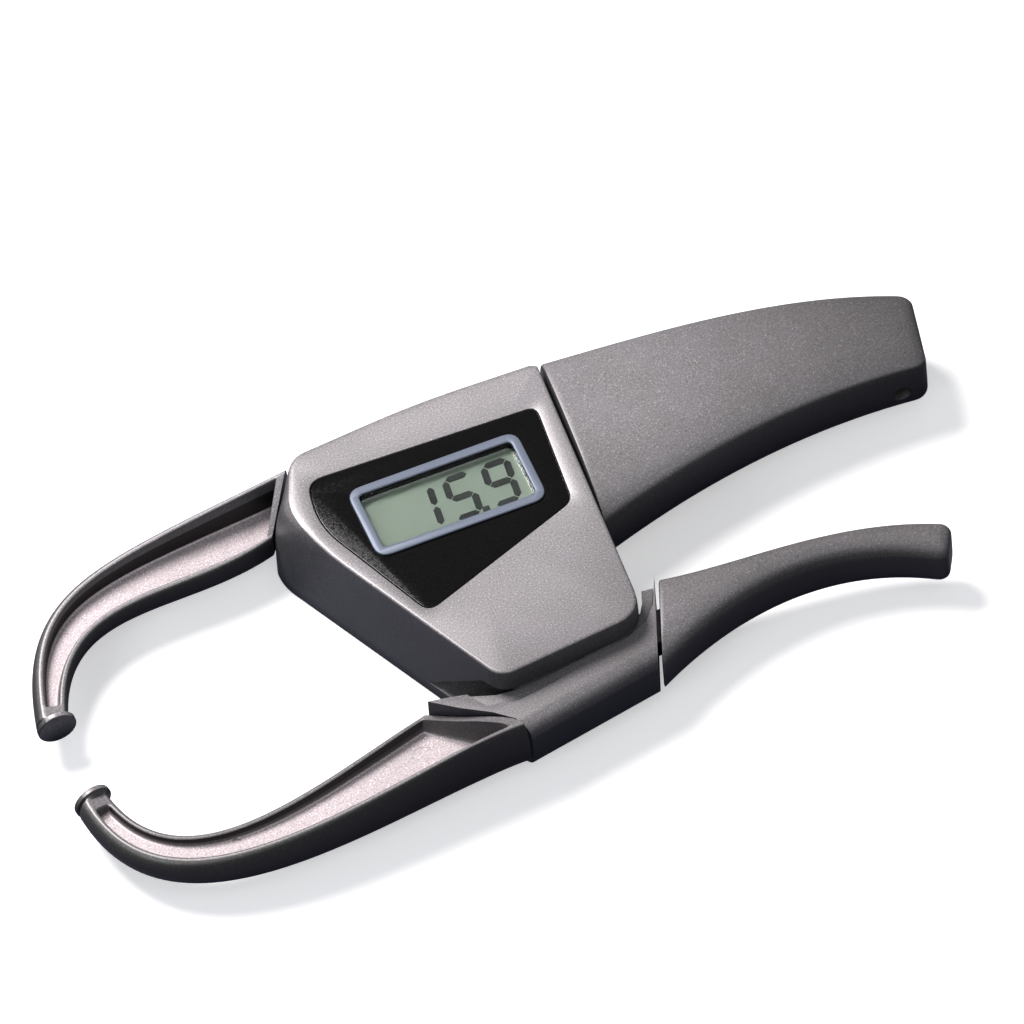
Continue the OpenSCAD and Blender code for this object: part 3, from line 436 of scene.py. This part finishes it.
def plain_finish(name, colour, rough, metallic=0.0, grain_scale=3000, vary=0.08, bumpiness=0.05,
                 specular=0.5):
    """One colour with a fine grain, which varies its shade and its roughness a little."""
    m, t, bsdf = nodes_of(name)
    grain = noise(t, grain_scale, 2.0, 0.6)
    low, high = darker(colour, 1 - vary), tuple(min(c * (1 + vary), 1) for c in colour)
    link(t, ramp(t, [(0.3, low), (0.7, high)], grain), bsdf.inputs["Base Color"])
    smooth, coarse = rough - ROUGH_VARY, rough + ROUGH_VARY
    link(t, ramp(t, [(0.3, grey(smooth)), (0.7, grey(coarse))], grain), bsdf.inputs["Roughness"])
    bsdf.inputs["Metallic"].default_value = metallic
    bsdf.inputs["Specular IOR Level"].default_value = specular
    bump(t, bsdf, grain, bumpiness, 0.00003)
    return m


def flaked_kinds(look):
    """What each flaked finish is made from: its colours where it looks up, slopes, stands and looks down,
    which paint light and shade by how a face turns.
    """
    face, pocket = tuple(look.face_colour), tuple(look.pocket_highlight_colour)
    return {
        # The housing: painted shade, darker towards its lower edge
        "shell": dict(name="grey_flake", face=face, slope=darker(face, 0.42), side=(0.1, 0.103, 0.106),
                      under=(0.014, 0.015, 0.028), shade_along=("Y", 12, -20, 0.66)),
        # The arm: painted shade, its faces darker than the housing's
        "arm": dict(name="arm_flake", face=darker(face, 0.58), slope=(0.08, 0.08, 0.08),
                    side=(0.02, 0.02, 0.028), under=(0.01, 0.01, 0.022), metallic=0.2),
        # The jaws' outer walls: painted shade, much darker than the housing
        "jaw_side": dict(name="jaw_wall_shade_flake", face=(0.13, 0.13, 0.12), slope=(0.04, 0.04, 0.037),
                         side=(0.01, 0.0095, 0.013), under=(0.008, 0.008, 0.016), metallic=0.1),
        # The pockets' floors: painted highlight, lighter and pinker than the faces
        "jaw_floor": dict(name="pocket_highlight_flake", face=pocket, slope=darker(face, 0.5),
                          side=(0.05, 0.05, 0.048), under=(0.016, 0.017, 0.032)),
        # The pockets' walls: painted shade, near black
        "jaw_hollow": dict(name="pocket_wall_shade_flake", face=(0.05, 0.047, 0.045), slope=(0.02, 0.018, 0.015),
                           side=(0.012, 0.011, 0.009), under=(0.01, 0.01, 0.012)),
        # The upper grip: painted shade, its faces darker than the housing's and darker again towards its end
        "grip": dict(name="grip_flake", face=darker(face, 0.78), slope=(0.1, 0.1, 0.096),
                     side=(0.04, 0.04, 0.043), under=(0.012, 0.012, 0.024), metallic=0.15,
                     shade_along=("X", 30, 78, 0.4)),
        # The lower grip: painted shade, its faces darker than the housing's and darker again along it
        "low_grip": dict(name="low_grip_flake", face=darker(face, 0.58), slope=(0.08, 0.08, 0.076),
                         side=(0.025, 0.025, 0.03), under=(0.009, 0.009, 0.02), metallic=0.15,
                         shade_along=("X", 20, 45, 0.72)),
    }


def plain_kinds(look):
    """What each plain finish is made from."""
    return {
        "panel": dict(name="panel_black", colour=(0.004, 0.0038, 0.0036), rough=0.14, vary=0.25,
                      bumpiness=0.02, specular=0.3),
        "bezel": dict(name="bezel_blue_grey", colour=tuple(look.bezel_colour), rough=0.38, metallic=0.2),
        "cell": dict(name="cell_grey_green", colour=tuple(look.cell_colour), rough=0.3, grain_scale=9000,
                     vary=0.03, bumpiness=0.0),
        "ink": dict(name="segment_ink", colour=(0.012, 0.016, 0.013), rough=0.5, grain_scale=2000,
                    bumpiness=0.0),
        "board": dict(name="board_green", colour=(0.02, 0.14, 0.05), rough=0.4),
        "black": dict(name="moulded_black", colour=(0.02, 0.02, 0.022), rough=0.45),
        "white": dict(name="natural_white", colour=(0.7, 0.69, 0.64), rough=0.5),
        "rubber": dict(name="strip_rubber", colour=(0.35, 0.12, 0.13), rough=0.7),
        "steel": dict(name="turned_steel", colour=(0.55, 0.55, 0.56), rough=0.32, metallic=1.0),
        "gold": dict(name="contact_gold", colour=(0.72, 0.55, 0.25), rough=0.3, metallic=1.0),
        "bronze": dict(name="bearing_bronze", colour=(0.5, 0.33, 0.16), rough=0.4, metallic=1.0),
    }


_finishes = {}


def finish_of(kind):
    """The finish of this kind, which is made when it is first asked for."""
    if kind not in _finishes:
        look = bpy.context.scene.caliper_look
        flaked, plain = flaked_kinds(look), plain_kinds(look)
        made = flake_with_painted_shade(**flaked[kind]) if kind in flaked else plain_finish(**plain[kind])
        _finishes[kind] = made
    return _finishes[kind]


def lens_finish():
    """Clear plastic of the window over the display."""
    m, t, bsdf = nodes_of("lens_clear")
    tones = [(0.3, (0.95, 0.98, 0.96)), (0.7, (0.97, 1.0, 0.98))]
    link(t, ramp(t, tones, noise(t, 400, 1.0)), bsdf.inputs["Base Color"])
    bsdf.inputs["Transmission Weight"].default_value = 1.0
    bsdf.inputs["Roughness"].default_value = 0.03
    bsdf.inputs["IOR"].default_value = 1.45
    return m


def paint(obj, *mats):
    """Gives a piece its finishes, in the order of its faces' material numbers."""
    for m in mats:
        obj.data.materials.append(m)


def paint_node(node, mat):
    """Gives a node of the frame its finish."""
    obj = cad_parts[node]
    if not obj.material_slots:
        obj.data.materials.append(mat)
    for s in obj.material_slots:
        s.material = mat


# ---- settings a user would change
class CaliperLook(bpy.types.PropertyGroup):
    edge_radius: FloatProperty(
        name="Edge radius", description="Rounding of the moulded edges", default=0.00045,
        min=0.0001, max=0.0008, subtype="DISTANCE", unit="LENGTH")
    # Lit grey of faces that look up, with painted light; some of the painted shade is drawn darker from it
    face_colour: FloatVectorProperty(
        name="Face colour", description="Grey of the faces that look up",
        default=(0.36, 0.345, 0.35), min=0, max=1, subtype="COLOR")
    # Painted highlight: the lit grey of the jaws' pocket floors, lighter than the faces
    pocket_highlight_colour: FloatVectorProperty(
        name="Pocket colour", description="Grey of the floors of the jaws' channels",
        default=(0.62, 0.55, 0.56), min=0, max=1, subtype="COLOR")
    bezel_colour: FloatVectorProperty(
        name="Bezel colour", description="Colour of the frame round the display",
        default=(0.18, 0.21, 0.27), min=0, max=1, subtype="COLOR")
    cell_colour: FloatVectorProperty(
        name="Display colour", description="Colour of the display's ground",
        default=(0.36, 0.43, 0.35), min=0, max=1, subtype="COLOR")
    lamp_level: FloatProperty(
        name="Lamp level", description="Brightness of the studio lamps", default=1.0, min=0.2, max=3.0)


# ---- housing
# Steps of the front shell: up its wall, round its edge and down inside, and rays all round it
WALL_STEPS, EDGE_STEPS, INNER_STEPS, EVEN_RAYS = 12, 4, 7, 90
# How the wall leans in towards the plate, and how its rings crowd towards the top
WALL_LEAN, WALL_CROWD = 2.6, 1.6
# Rounding of the window's rim, with the place half-way round it
RIM_R, RIM_BEND = 0.25, 0.07


def shell_foot(x, y):
    """Height at which the side wall starts: the lower lever swings through a slot below it."""
    if (x > NOTCH_X and y < NOTCH_Y) or y < RAMP_END_Y:
        return SLOT_TOP
    if y < RAMP_START_Y and x < RAMP_END_X:
        return REAR_T + (SLOT_TOP - REAR_T) * (RAMP_START_Y - y) / (RAMP_START_Y - RAMP_END_Y)
    return REAR_T


def lean_at(z):
    """How far the wall has come from the shell's outline to the plate's at a height."""
    s = max(0.0, (z - REAR_T) / (BODY_T - REAR_T))
    return 1 - (1 - s ** WALL_LEAN) ** (1 / WALL_LEAN)


def shell_rings(r):
    """Rings of the front shell: up its wall, over its edge of radius r, in at the window and down inside."""
    shell, plate, window = outline(SHELL), outline(PLATE), outline(WINDOW)
    shell_in, plate_in, top = outline(SHELL, WALL), outline(PLATE, WALL + 0.6), outline(PLATE, r)
    opening = soft_box(FRAME_L - 2 * FRAME_W + 2.2, FRAME_H - 2 * FRAME_W + 2.2, 1.2)
    notch = [(NOTCH_WALL_X, NOTCH_Y + step) for step in (-0.02, 0.02)]
    corners = set(round(angle_of(p), 5) for form in (shell, plate, window, opening, notch) for p in form)
    even = [2 * math.pi * k / EVEN_RAYS - math.pi for k in range(EVEN_RAYS)]
    angles = sorted([*corners, *(a for a in even if all(abs(a - b) > 0.02 for b in corners))])
    feet = [shell_foot(*reach_at(shell, a)) for a in angles]

    def wall_ring(base, edge, height, share):
        ring = []
        for a, foot in zip(angles, feet):
            z = foot + (height - foot) * share
            ring.append((*mix(reach_at(base, a), reach_at(edge, a), lean_at(z)), z))
        return ring

    crowded = [1 - (1 - k / WALL_STEPS) ** WALL_CROWD for k in range(WALL_STEPS + 1)]
    rings = [wall_ring(shell, plate, BODY_T - r, share) for share in crowded]
    wall_top = rings[-1]
    for k in range(1, EDGE_STEPS + 1):
        w = math.pi / 2 * k / EDGE_STEPS
        z = BODY_T - r + r * math.sin(w)
        rings.append([(*mix(p[:2], reach_at(top, a), 1 - math.cos(w)), z) for a, p in zip(angles, wall_top)])
    for edge, z in ((outline(WINDOW, -RIM_R), BODY_T), (outline(WINDOW, -RIM_BEND), BODY_T - RIM_BEND),
                    (window, BODY_T - RIM_R), (window, BODY_T - PANEL_RECESS),
                    (opening, BODY_T - PANEL_RECESS), (opening, BODY_T - PLATE_T),
                    (plate_in, BODY_T - PLATE_T)):
        rings.append([(*reach_at(edge, a), z) for a in angles])
    for k in range(INNER_STEPS, -1, -1):
        rings.append(wall_ring(shell_in, plate_in, BODY_T - PLATE_T - 0.4, k / INNER_STEPS))
    return rings


def on_rear_rim(e):
    """Whether an edge of the rear cover is a long one of its rear face, away from the cap's hole."""
    for v in e.verts:
        from_cap = math.hypot(v.co.x - COIN_C[0] * MM, v.co.y - COIN_C[1] * MM)
        if v.co.z >= 1e-5 or from_cap <= CAP_CLEAR * MM:
            return False
    return e.calc_length() > 0.00052


class CALIPER_OT_housing(bpy.types.Operator):
    """Builds the housing's front shell, its rear cover and the coin cap"""
    bl_idname = "caliper.housing"
    bl_label = "Housing"

    def execute(self, context):
        look = context.scene.caliper_look
        bm = loft(shell_rings(look.edge_radius / MM), closed=True)
        outwards(bm)
        shade(bm, 28)
        shell = new_piece("front_shell_skin", bm, "housing", "front_shell")
        hole = bmesh.new()
        size = Matrix.Diagonal((*(d * MM for d in BUTTON_WAY), 1))
        bmesh.ops.create_cube(hole, size=1.0, matrix=Matrix.Translation(Vector(BUTTON_AT) * MM) @ size)
        cut(shell, hole)
        paint(shell, finish_of("shell"))
        bm = dressed("rear_cover", 0.9, 3, 50, only=on_rear_rim)
        cover = new_piece("rear_cover_skin", bm, "housing", "rear_cover")
        paint(cover, finish_of("shell"))
        bm = dressed("battery_cap", 0.25, 2, 50)
        cap = new_piece("battery_cap_skin", bm, "coin_cap", "battery_cap", slot="dark_shell")
        paint(cap, finish_of("shell"))
        bm = dressed("power_button", 0.3, 3, 50)
        button = new_piece("power_button_skin", bm, "button", "power_button", slot="black_matte")
        paint(button, finish_of("black"))
        return {"FINISHED"}


# ---- making the jaws
# Material numbers of a jaw's faces; the floor carries a painted highlight and the hollow and outer ones
# painted shade
SHELL_SIDE, FLOOR_SIDE, HOLLOW_SIDE, OUTER_SIDE = 0, 1, 2, 3
# The finish of each side of a jaw's section, from the bottom of its outer wall round to it again: painted
# shade on the outer walls and the pocket's walls, a painted highlight on its floor
JAW_SIDES = ([OUTER_SIDE] * 7 + [SHELL_SIDE] * 3 + [HOLLOW_SIDE] + [FLOOR_SIDE] * 5 + [HOLLOW_SIDE]
             + [SHELL_SIDE] * 2 + [OUTER_SIDE] * 7)
# How many sides each of them becomes when its corners are cut
SIDE_PARTS = 4


def jaw_section(w, zo, zi, opened):
    """Section of a jaw w wide with rims at heights zo and zi: distance from the outer face, and height.

    opened is 1 where the pocket is open and 0 where the top is closed."""
    a, b, low, floor = BULGE + 0.75, w - 1.2, JAW_Z + 2.2, JAW_FLOOR

    def top(x, deep):
        shut = zo + (zi - zo) * (x - a) / (b - a)
        return x, shut + (deep - shut) * opened

    def wall(x, share):
        return x * BULGE, low + share * (zo - low)

    outer = [(1.6, JAW_Z), (0.7, JAW_Z + 0.3), (0.2, JAW_Z + 1), (0, low), wall(0.06, 0.3), wall(0.3, 0.62),
             wall(0.65, 0.87), (BULGE, zo - 0.15), (BULGE + 0.35, zo)]
    pocket = [top(a, zo - 0.05), top(a + 0.25, zo - 0.35), top(a + 0.4, floor + 0.4), top(a + 0.75, floor),
              top(a + 1.05, floor), top(w - 2.2, floor), top(w - 1.9, floor), top(w - 1.6, floor + 0.35),
              top(w - 1.5, zi - 0.35), top(b, zi)]
    inner = [(w - 0.75, zi - 0.05), (w - 0.3, zi - 0.5), (w - 0.05, zi - 1.4),
             (w, JAW_Z + 0.45 * (zi - JAW_Z)), (w - 0.15, JAW_Z + 1), (w - 0.6, JAW_Z + 0.3),
             (w - 1.4, JAW_Z)]
    return outer + pocket + inner


# Places along a jaw, and how far its pocket is open there
POCKET_START, POCKET_L, POCKET_STEPS = 0.036, 0.919, 56
JAW_PLACES = [(0, 0), (0.012, 0), (0.022, 0), (0.0235, 0.1), (0.026, 0.45), (0.029, 0.82), (0.032, 0.95)]
JAW_PLACES += [(POCKET_START + POCKET_L * k / POCKET_STEPS, 1) for k in range(POCKET_STEPS + 1)]
JAW_PLACES += [(0.959, 0.95), (0.963, 0.8), (0.967, 0.4), (0.97, 0.1), (0.973, 0), (0.986, 0), (1, 0)]


# Where a jaw starts to grow thinner, and the share of its length over which its rings bend to the seam
TAPER_X, BEND_L = 30, 0.1
# Rounded disc of the pad, from its back to its face: distance behind the face, and how far drawn in
PAD_PROFILE = [(PAD_T + 0.12, 0.5), (PAD_T, 0.3), (PAD_T - 0.05, 0.1), (PAD_T - 0.16, 0), (0.2, 0),
               (0.06, 0.05), (0, 0.2)]


def jaw_rings(back, front, seam, side):
    """Rings of a jaw along its two edge curves; near the root they bend to the line of the seam."""
    back, front, seam = sampled(back), sampled(front), [Vector(p) for p in seam]
    rings = []
    for share, opened in JAW_PLACES:
        a, b = share_point(back, share), share_point(front, share)
        w = (b - a).length
        bend = max(0.0, 1 - share / BEND_L)
        f = min(max((-(a.x + b.x) / 2 - TAPER_X) / (JAW_REACH - TAPER_X), 0), 1)
        zo, zi = JAW_Z + JAW_T + (TIP_T - JAW_T) * f, JAW_Z + INNER_T + (INNER_TIP_T - INNER_T) * f
        ring = []
        for x, z in cut_corners(jaw_section(w, zo, zi, opened)):
            p = a + (b - a) * x / w
            if bend:
                p = p + (share_point(seam, x / w) - back[0].lerp(front[0], x / w)) * bend
            ring.append((p.x, p.y, z))
        rings.append(ring)
    turns = [math.atan2(z - PAD_Z, x - w / 2) for x, z in cut_corners(jaw_section(w, zo, zi, 0))]

    def disc(behind, drawn):
        r, y = PAD_D / 2 - drawn, PAD_LINE + side * (SHUT_GAP / 2 + behind)
        return [(-JAW_REACH + r * math.cos(g), y, PAD_Z + r * math.sin(g)) for g in turns]

    rings.append([mix(p, q, 0.55) for p, q in zip(rings[-1], disc(PAD_T, 0.5))])
    rings += [disc(*step) for step in PAD_PROFILE]
    return rings


def jaw_finish(ring, side):
    """The finish of a face of a jaw: where the pocket is open, a painted highlight on its floor and painted
    shade on its walls, and painted shade on the outer walls.
    """
    opened = ring < len(JAW_PLACES) - 1 and min(JAW_PLACES[ring][1], JAW_PLACES[ring + 1][1]) > 0.4
    finish = JAW_SIDES[side // SIDE_PARTS]
    return finish if opened or finish == OUTER_SIDE else SHELL_SIDE


# Round witness marks of the ejector pins in the pockets' floors: place and radius, and their depth
UPPER_MARKS = [((-38.7, 34.4), 1.9), ((-75.1, 26.1), 0.9)]
LOWER_MARKS = [((-28.6, -22.0), 2.0), ((-64.4, -25.9), 1.1)]
MARK_DEPTH, MARK_TOOL = 0.06, 1.0
# Node, body, edge curves, seam, side of the pads' line, turn and marks of each jaw
JAWS = [("upper_jaw", "housing", UPPER_BACK, UPPER_FRONT, UPPER_SEAM, 1, 0.0, UPPER_MARKS),
        ("lower_jaw", "lower_lever", LOWER_BACK, LOWER_FRONT, LOWER_SEAM, -1, REST_ANGLE, LOWER_MARKS)]


def round_tool(place, radius, depth, segments, turn=Matrix.Identity(4)):
    """A cylinder to cut with, of these millimetres."""
    bm = bmesh.new()
    bmesh.ops.create_cone(bm, cap_ends=True, segments=segments, radius1=radius * MM, radius2=radius * MM,
                          depth=depth * MM, matrix=Matrix.Translation(Vector(place) * MM) @ turn)
    return bm


class CALIPER_OT_jaws(bpy.types.Operator):
    """Builds the two channel jaws with their round pads"""
    bl_idname = "caliper.jaws"
    bl_label = "Jaws"

    def execute(self, context):
        for node, body, back, front, seam, side, turned, marks in JAWS:
            bm = loft(jaw_rings(back, front, seam, side), turned=turned, finish_at=jaw_finish)
            outwards(bm)
            shade(bm, 35)
            jaw = new_piece(node + "_skin", bm, body, node)
            paint(jaw, *(finish_of(kind) for kind in ("shell", "jaw_floor", "jaw_hollow", "jaw_side")))
            for (x, y), radius in marks:
                dent = round_tool((x, y, JAW_FLOOR + MARK_TOOL / 2 - MARK_DEPTH), radius, MARK_TOOL, 40)
                for f in dent.faces:
                    f.material_index = FLOOR_SIDE
                cut(jaw, dent)
        return {"FINISHED"}


# ---- making the grips
# Section of a grip: share of the way across, and height, where 0 is the back, 1 the crease and 2 the crown
GRIP_SECTION = [(0.12, 0.01), (0.3, 0), (0.7, 0), (0.9, 0.03), (0.97, 0.14), (1, 0.36), (1, 0.9), (0.99, 1.4),
                (0.955, 1.76), (0.87, 1.94), (0.6, 2), (0.32, 1.88), (0.13, 1.54), (0.03, 1.08), (0, 0.8),
                (0, 0.3), (0.035, 0.08)]
# Places along a grip, and how far its ring is drawn in there: at the root, along it and round its end
GRIP_STEPS, END_START, END_R = 36, 0.965, 1.5
GRIP_PLACES = [(0.0, 0.5), (0.003, 0.12), (0.008, 0.0)]
GRIP_PLACES += [(0.02 + 0.945 * k / GRIP_STEPS, 0) for k in range(GRIP_STEPS + 1)]
GRIP_PLACES += [(END_START + (1 - END_START) * math.sin(g), END_R * (1 - math.cos(g)))
                for g in (0.3, 0.6, 0.9, 1.15, 1.35, 1.5)]


def grip_rings(low, top, heights):
    """Rings of a grip between its two edge curves."""
    smooth = cut_corners(GRIP_SECTION)
    rings = []
    for t, w in GRIP_PLACES:
        a, b = curve_point(low, t), curve_point(top, t)
        length = math.dist(a, b)
        back, crease, crown = mix(*heights, t)
        back, crown = back + w, crown - w
        ring = []
        for x, h in smooth:
            q = mix(a, b, (w + x * (length - 2 * w)) / length)
            ring.append((*q, back + (crease - back) * h if h < 1 else crease + (crown - crease) * (h - 1)))
        rings.append(ring)
    return rings


class CALIPER_OT_grips(bpy.types.Operator):
    """Builds the two grips"""
    bl_idname = "caliper.grips"
    bl_label = "Grips"

    def execute(self, context):
        bm = loft(grip_rings(UPPER_GRIP_LOW, UPPER_GRIP_TOP, UPPER_GRIP_Z))
        outwards(bm)
        shade(bm, 40)
        upper = new_piece("upper_grip_skin", bm, "housing", "upper_grip")
        cut(upper, round_tool(LANYARD_AT, LANYARD_D / 2, 50, 32, Matrix.Rotation(math.pi / 2, 4, "X")))
        paint(upper, finish_of("grip"))
        bm = loft(grip_rings(LOWER_GRIP_LOW, LOWER_GRIP_TOP, LOWER_GRIP_Z), turned=REST_ANGLE)
        outwards(bm)
        shade(bm, 40)
        lower = new_piece("lower_grip_skin", bm, "lower_lever", "lower_grip")
        paint(lower, finish_of("low_grip"))
        return {"FINISHED"}


# ---- lower lever's middle
class CALIPER_OT_arm(bpy.types.Operator):
    """Builds the lower lever's arm: its ledge and its outer shoe"""
    bl_idname = "caliper.arm"
    bl_label = "Arm"

    def execute(self, context):
        bm = dressed("arm_frame", 0.25, 2, 40)
        arm = new_piece("arm_frame_skin", bm, "lower_lever", "arm_frame")
        paint(arm, finish_of("arm"))
        bm = dressed("arm_cover", 0.8, 4, 50)
        shoe = new_piece("arm_cover_skin", bm, "lower_lever", "arm_cover")
        paint(shoe, finish_of("arm"))
        return {"FINISHED"}


# ---- display
class CALIPER_OT_display(bpy.types.Operator):
    """Builds the window panel and the frame round the display"""
    bl_idname = "caliper.display"
    bl_label = "Display"

    def execute(self, context):
        bm = dressed("display_panel", 0.2, 3, 50)
        panel = new_piece("display_panel_skin", bm, "housing", "display_panel", slot="black_gloss")
        paint(panel, finish_of("panel"))
        bm = dressed("display_frame", 0.22, 3, 50)
        bezel = new_piece("display_frame_skin", bm, "housing", "display_frame", slot="frame_grey")
        paint(bezel, finish_of("bezel"))
        paint_node("display_lens", lens_finish())
        paint_node("display_cell", finish_of("cell"))
        paint_node("display_digits", finish_of("ink"))
        return {"FINISHED"}


# Finishes of the pieces inside and behind, which keep the frame's own meshes
INNER_FINISHES = {
    "display_holder": "black", "contact_strips": "rubber", "circuit_board": "board",
    "board_chips": "black", "board_screws": "steel", "switch_body": "black",
    "switch_plunger": "white", "battery": "steel", "battery_clip": "gold",
    "battery_spring": "gold", "upper_grip_back": "grip", "hinge_pin": "steel",
    "thrust_washer": "white", "return_spring": "steel", "hub_bush": "bronze",
    "lower_grip_back": "grip", "sensor_wiper": "gold", "case_screws": "steel",
    "upper_lever_screws": "steel", "lower_lever_screws": "steel",
}


class CALIPER_OT_workings(bpy.types.Operator):
    """Gives the pieces inside and behind their finishes"""
    bl_idname = "caliper.workings"
    bl_label = "Workings"

    def execute(self, context):
        for node, kind in INNER_FINISHES.items():
            paint_node(node, finish_of(kind))
        return {"FINISHED"}


# ---- stage, in metres
FLOOR_SIZE, FLOOR_DROP = 3.0, 0.0002
# Name, place, size, power and colour of each lamp; they aim at the origin
LAMPS = [("key", (-0.35, 0.55, 1.0), 0.5, 17, (1.0, 0.965, 0.97)),
         ("fill", (0.1, -0.6, 1.1), 0.8, 2, (0.97, 0.98, 1.0)),
         ("edge", (-0.6, -0.3, 0.35), 0.25, 1.2, (0.9, 0.93, 1.0))]
SKY_COLOUR, SKY_LEVEL = (0.62, 0.64, 0.7, 1), 0.3
# The view: its axes, its lens and sensor in millimetres, how wide it sees, and its aim from the display
VIEW_RIGHT, VIEW_UP = Vector((0.9262, -0.3747, -0.0505)).normalized(), Vector((0.3330, 0.7450, 0.5780))
VIEW_LENS, VIEW_SENSOR, VIEW_WIDTH = 1500.0, 36.0, 0.1751
DISPLAY_AT, AIM_RIGHT, AIM_UP = Vector((-0.007, 0.019, 0.020)), 0.01110, -0.00292


def floor_finish():
    """White to the camera, and a dull blue-grey to the light that falls back on the pieces."""
    m, t, bsdf = nodes_of("pale_floor")
    bsdf.inputs["Base Color"].default_value = (0.22, 0.22, 0.27, 1)
    bsdf.inputs["Roughness"].default_value = 0.8
    bsdf.inputs["Specular IOR Level"].default_value = 0.1
    pale = t.nodes.new("ShaderNodeBsdfPrincipled")
    pale.inputs["Base Color"].default_value = (0.9, 0.9, 0.9, 1)
    pale.inputs["Roughness"].default_value = 0.9
    pale.inputs["Emission Color"].default_value = (1, 1, 1, 1)
    pale.inputs["Emission Strength"].default_value = 0.45
    path = t.nodes.new("ShaderNodeLightPath")
    either = t.nodes.new("ShaderNodeMath")
    either.operation = "MAXIMUM"
    link(t, path.outputs["Is Camera Ray"], either.inputs[0])
    link(t, path.outputs["Is Transmission Ray"], either.inputs[1])
    blend = t.nodes.new("ShaderNodeMixShader")
    link(t, either.outputs[0], blend.inputs[0])
    link(t, bsdf.outputs[0], blend.inputs[1])
    link(t, pale.outputs[0], blend.inputs[2])
    link(t, blend.outputs[0], t.nodes["Material Output"].inputs["Surface"])
    return m


def lamp(name, place, size, power, colour):
    """A round soft lamp that aims at the origin."""
    data = bpy.data.lights.new(name, "AREA")
    data.shape, data.size, data.energy, data.color = "DISK", size, power, colour
    obj = bpy.data.objects.new(name, data)
    obj.location = place
    obj.rotation_euler = (-Vector(place)).to_track_quat("-Z", "Y").to_euler()
    bpy.context.scene.collection.objects.link(obj)


def camera():
    """The photo's view: nearly parallel, from far away through a long lens."""
    cam = bpy.data.cameras.new("view")
    cam.lens, cam.sensor_width = VIEW_LENS, VIEW_SENSOR
    cam.clip_start, cam.clip_end = 0.05, 20
    obj = bpy.data.objects.new("view", cam)
    back = VIEW_RIGHT.cross(VIEW_UP).normalized()
    up = back.cross(VIEW_RIGHT)
    aim = DISPLAY_AT + AIM_RIGHT * VIEW_RIGHT + AIM_UP * up
    turn = Matrix((VIEW_RIGHT, up, back)).transposed().to_4x4()
    obj.matrix_world = Matrix.Translation(aim + back * (VIEW_WIDTH * VIEW_LENS / VIEW_SENSOR)) @ turn
    bpy.context.scene.collection.objects.link(obj)
    return obj


class CALIPER_OT_stage(bpy.types.Operator):
    """Sets up the floor, the lamps and the camera"""
    bl_idname = "caliper.stage"
    bl_label = "Stage"

    def execute(self, context):
        bm = bmesh.new()
        bmesh.ops.create_grid(bm, x_segments=1, y_segments=1, size=FLOOR_SIZE)
        mesh = bpy.data.meshes.new("floor")
        bm.to_mesh(mesh)
        bm.free()
        floor = bpy.data.objects.new("floor", mesh)
        context.scene.collection.objects.link(floor)
        floor.location = (0, 0, SOLID_BOX[0][2] - FLOOR_DROP)
        mesh.materials.append(floor_finish())
        for name, place, size, power, colour in LAMPS:
            lamp(name, place, size, power * context.scene.caliper_look.lamp_level, colour)
        world = bpy.data.worlds.new("studio")
        world.use_nodes = True
        background = world.node_tree.nodes["Background"]
        background.inputs["Color"].default_value = SKY_COLOUR
        background.inputs["Strength"].default_value = SKY_LEVEL
        context.scene.world = world
        context.scene.view_settings.view_transform = "Standard"
        context.scene.camera = camera()
        return {"FINISHED"}


class CALIPER_PT_panel(bpy.types.Panel):
    """Lists the settings and the pieces in the sidebar"""
    bl_label = "Caliper"
    bl_idname = "CALIPER_PT_panel"
    bl_space_type = "VIEW_3D"
    bl_region_type = "UI"
    bl_category = "Caliper"

    def draw(self, context):
        look = context.scene.caliper_look
        for setting in ("edge_radius", "face_colour", "pocket_highlight_colour", "bezel_colour", "cell_colour",
                        "lamp_level"):
            self.layout.prop(look, setting)
        for op in PIECE_OPERATORS:
            self.layout.operator(op.bl_idname)


PIECE_OPERATORS = (CALIPER_OT_housing, CALIPER_OT_jaws, CALIPER_OT_grips, CALIPER_OT_arm, CALIPER_OT_display,
                   CALIPER_OT_workings, CALIPER_OT_stage)
CLASSES = (CaliperLook, *PIECE_OPERATORS, CALIPER_PT_panel)


def register():
    for c in CLASSES:
        bpy.utils.register_class(c)
    bpy.types.Scene.caliper_look = PointerProperty(type=CaliperLook)


def unregister():
    del bpy.types.Scene.caliper_look
    for c in reversed(CLASSES):
        bpy.utils.unregister_class(c)


def main():
    """Builds every piece and the stage."""
    register()
    bpy.ops.caliper.housing()
    bpy.ops.caliper.jaws()
    bpy.ops.caliper.grips()
    bpy.ops.caliper.arm()
    bpy.ops.caliper.display()
    bpy.ops.caliper.workings()
    bpy.ops.caliper.stage()


if __name__ == "__main__":
    main()
